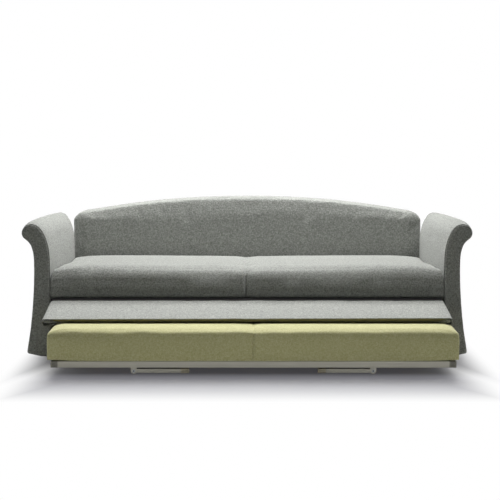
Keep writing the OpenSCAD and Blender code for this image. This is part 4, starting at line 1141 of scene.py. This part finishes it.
def trundle_form(bm):
    """The fitted cover keeps the edges tight; at the front corners it slopes, and lifts off the chassis"""
    half = (trundle_high.x - trundle_low.x) / 2
    reach = {side: half + spread * MM for side, spread in TRUNDLE_SPREAD_MM.items()}
    spare_x = half - max(abs(v.co.x - trundle_middle) for v in bm.verts)
    spare_y = min(v.co.y for v in bm.verts) - trundle_low.y
    for v in bm.verts:
        side = 1 if v.co.x > trundle_middle else -1
        high = part_way(v.co.z, trundle_low.z, trundle_high.z)
        to_side = (half - spare_x - abs(v.co.x - trundle_middle)) / MM
        to_front = (v.co.y - trundle_low.y - spare_y) / MM
        from_side = drawn(to_side, TRUNDLE_ROUND_MM, between(CORNER_TIGHT_MM, high ** 2), CORNER_REACH_MM)
        from_front = drawn(to_front, TRUNDLE_ROUND_MM, between(LIP_TIGHT_MM, high), LIP_REACH_MM)
        v.co.x = trundle_middle + side * (reach[side] - from_side * MM)
        v.co.y += (from_front - to_front) * MM - spare_y
        v.co.z = trundle_high.z - drawn((trundle_high.z - v.co.z) / MM, *TOP_ROUND_MM) * MM
        to_front = (v.co.y - trundle_low.y) / MM
        near = bell(from_side, 45) * bell(to_front, 110)
        edge = bell(to_front, 30)
        v.co.z -= (CORNER_SLOPE_MM * near + EDGE_SLOPE_MM * edge) * MM * high ** 2
        v.co.z += uneven(v.co, 110, 7, 11) * edge * high ** 2
        v.co.z += COVER_LIFT_MM * MM * bell(from_side, 110) * bell(to_front, 45) * (1 - high) ** 3


green_weave = woven("green_melange_weave", GREEN_PALE, GREEN_MID, GREEN_DARK)
trundle = stuffed("trundle_mattress", green_weave, TRUNDLE_VOXEL_MM, tuck_mm=5, cap_mm=10,
                  base=lambda p: p.z < trundle_low.z + 4 * MM, room=trundle_room)
trundle_form(trundle)
sewn_seam(trundle, trundle_middle, TRUNDLE_SEAM_MM, 1, 60, trundle_low, trundle_high)
trundle_piece = piece(trundle, "trundle_mattress_stuffed", green_weave, "trundle",
                      ["trundle_mattress"], levels=1)

# Floor, light and camera: a pale floor that shows white to the camera away from the shadow, with a painted glow in
# the shadow, one large softbox overhead, weak light from both sides and all round, and the photograph's camera.

FLOOR_SHOWN = "#a3a3a6"
FLOOR_PAINTED_GLOW = "#3c3c3f"
FLOOR_BOUNCE = "#e7e7e5"
FLOOR_HALF = 20
FLOOR_GAP_MM = 0.5
FLOOR_MIDDLE = 0.02
# Where the shadow fades to white: sideways from and to, forwards from and to, once for each of two reaches
FLOOR_FADES = ((0.90, 1.14, -0.78, -1.10), (1.0, 1.20, -0.30, -0.84))
FLOOR_FADE_BEHIND = 0.3
# Painted light: a glow of the floor in the shadow, which rises towards the shadow's front edge and falls again
# outside it
PAINTED_GLOW_RISE = (-0.56, -0.68, 1.0, 4.0)
PAINTED_GLOW_FALL = (-0.675, -0.76, 0.0, 2.3)
AMBIENT = 0.01
AMBIENT_TINT = (0.95, 0.97, 1, 1)
SOFTBOX_W = 138
SOFTBOX_PLACE = (0, 0.4, 2.5)
SOFTBOX_AIM = (0, 0.4, 0)
SOFTBOX_SIZE = (3.2, 1.7)
SIDE_FILL_W = 22
SIDE_FILL_PLACE = (3.6, 0.4, 1.5)
SIDE_FILL_AIM = (1.1, 0.2, 0.4)
SIDE_FILL_SIZE = (1.5, 1.5)
CAMERA_PLACE = (0, -5.0265, 1.1463)
CAMERA_TILT = 82.95
CAMERA_LENS = 68.21
CAMERA_SENSOR = 36
IMAGE_W = 500
OBJECT_MIDDLE_U = 247.1


def seen_ray(tree):
    """1 for the rays that show a surface: straight to the camera, or mirrored or refracted to it"""
    path = add(tree, "ShaderNodeLightPath").outputs
    either = add(tree, "ShaderNodeMath", {0: path["Is Camera Ray"], 1: path["Is Glossy Ray"]},
                 operation="MAXIMUM")
    return add(tree, "ShaderNodeMath", {0: either.outputs["Value"], 1: path["Is Transmission Ray"]},
               operation="MAXIMUM").outputs["Value"]


def floor_finish():
    """Pale floor: the camera sees its shadow near the sofa, lifted by a painted glow, and plain white further out,
    and to all other rays it is one even pale grey"""
    material = bpy.data.materials.new("pale_floor")
    material.use_nodes = True
    tree = material.node_tree
    tree.nodes.clear()
    place = add(tree, "ShaderNodeTexCoord").outputs["Object"]
    split = add(tree, "ShaderNodeSeparateXYZ", {"Vector": place}).outputs
    from_middle = add(tree, "ShaderNodeMath", {0: split["X"], 1: -FLOOR_MIDDLE}).outputs["Value"]
    x_away = add(tree, "ShaderNodeMath", {0: from_middle}, operation="ABSOLUTE").outputs["Value"]
    fades = []
    for x_near, x_far, y_near, y_far in FLOOR_FADES:
        shares = []
        for value, near, far in ((x_away, x_near, x_far), (split["Y"], y_near, y_far)):
            shares.append(add(tree, "ShaderNodeMapRange", {"Value": value, "From Min": near, "From Max": far},
                              interpolation_type="SMOOTHSTEP").outputs["Result"])
        outside = add(tree, "ShaderNodeMath", {0: shares[0], 1: shares[1]}, operation="MAXIMUM")
        fades.append(outside.outputs["Value"])
    ahead = add(tree, "ShaderNodeMath", {0: fades[0], 1: fades[1]}, operation="MINIMUM").outputs["Value"]
    behind = add(tree, "ShaderNodeMapRange", {"Value": split["Y"], "From Min": cad_high.y,
                                              "From Max": cad_high.y + FLOOR_FADE_BEHIND},
                 interpolation_type="SMOOTHSTEP").outputs["Result"]
    fade = add(tree, "ShaderNodeMath", {0: ahead, 1: behind}, operation="MAXIMUM").outputs["Value"]
    # Painted light: how strongly the floor glows in the shadow, by its distance forwards
    painted_glow = []
    for near, far, low, high in (PAINTED_GLOW_RISE, PAINTED_GLOW_FALL):
        painted_glow.append(add(tree, "ShaderNodeMapRange", {"Value": split["Y"], "From Min": near, "From Max": far,
                                                      "To Min": low, "To Max": high},
                         interpolation_type="SMOOTHSTEP").outputs["Result"])
    strength = add(tree, "ShaderNodeMath", {0: painted_glow[0], 1: painted_glow[1]}, operation="SUBTRACT").outputs["Value"]
    lit = add(tree, "ShaderNodeBsdfDiffuse", {"Color": linear(FLOOR_SHOWN)}).outputs["BSDF"]
    painted_glow_emission = add(tree, "ShaderNodeEmission", {"Color": linear(FLOOR_PAINTED_GLOW), "Strength": strength})
    white = add(tree, "ShaderNodeEmission", {"Strength": 1.0}).outputs["Emission"]
    near_floor = add(tree, "ShaderNodeAddShader", {0: lit, 1: painted_glow_emission.outputs["Emission"]}).outputs["Shader"]
    shown = add(tree, "ShaderNodeMixShader", {0: fade, 1: near_floor, 2: white}).outputs["Shader"]
    bounce = add(tree, "ShaderNodeBsdfDiffuse", {"Color": linear(FLOOR_BOUNCE)}).outputs["BSDF"]
    surface = add(tree, "ShaderNodeMixShader", {0: seen_ray(tree), 1: bounce, 2: shown}).outputs["Shader"]
    add(tree, "ShaderNodeOutputMaterial", {"Surface": surface})
    return material


floor_bm = bmesh.new()
bmesh.ops.create_grid(floor_bm, x_segments=1, y_segments=1, size=FLOOR_HALF,
                      matrix=Matrix.Translation((0, 0, -FLOOR_GAP_MM * MM)))
floor_mesh = bpy.data.meshes.new("floor")
floor_bm.to_mesh(floor_mesh)
floor_bm.free()
loose_copy("floor", floor_mesh, floor_finish())


def area_light(name, place, aim, size, power):
    """A rectangular soft light at a place, turned to a point"""
    light = bpy.data.lights.new(name, "AREA")
    light.shape = "RECTANGLE"
    light.size, light.size_y = size
    light.energy = power
    lamp = bpy.data.objects.new(name, light)
    lamp.location = place
    lamp.rotation_euler = (Vector(aim) - Vector(place)).to_track_quat("-Z", "Y").to_euler()
    bpy.context.scene.collection.objects.link(lamp)


area_light("softbox", SOFTBOX_PLACE, SOFTBOX_AIM, SOFTBOX_SIZE, SOFTBOX_W)
for x_side in (-1, 1):
    fill_place, fill_aim = [(x_side * x, y, z) for x, y, z in (SIDE_FILL_PLACE, SIDE_FILL_AIM)]
    area_light("side_fill", fill_place, fill_aim, SIDE_FILL_SIZE, SIDE_FILL_W)

world = bpy.data.worlds.new("studio")
bpy.context.scene.world = world
world.use_nodes = True
world.node_tree.nodes.clear()
ambient = add(world.node_tree, "ShaderNodeBackground", {"Color": AMBIENT_TINT, "Strength": AMBIENT})
backdrop = add(world.node_tree, "ShaderNodeBackground", {"Color": (1, 1, 1, 1), "Strength": 1.0})
both = add(world.node_tree, "ShaderNodeMixShader", {0: seen_ray(world.node_tree),
                                                    1: ambient.outputs["Background"],
                                                    2: backdrop.outputs["Background"]})
add(world.node_tree, "ShaderNodeOutputWorld", {"Surface": both.outputs["Shader"]})

camera_data = bpy.data.cameras.new("camera")
camera_data.sensor_width = CAMERA_SENSOR
camera_data.lens = CAMERA_LENS
camera_data.shift_x = 0.5 - OBJECT_MIDDLE_U / IMAGE_W
camera = bpy.data.objects.new("camera", camera_data)
camera.location = CAMERA_PLACE
camera.rotation_euler = (math.radians(CAMERA_TILT), 0, 0)
bpy.context.scene.collection.objects.link(camera)
bpy.context.scene.camera = camera
bpy.context.scene.view_settings.view_transform = "Standard"
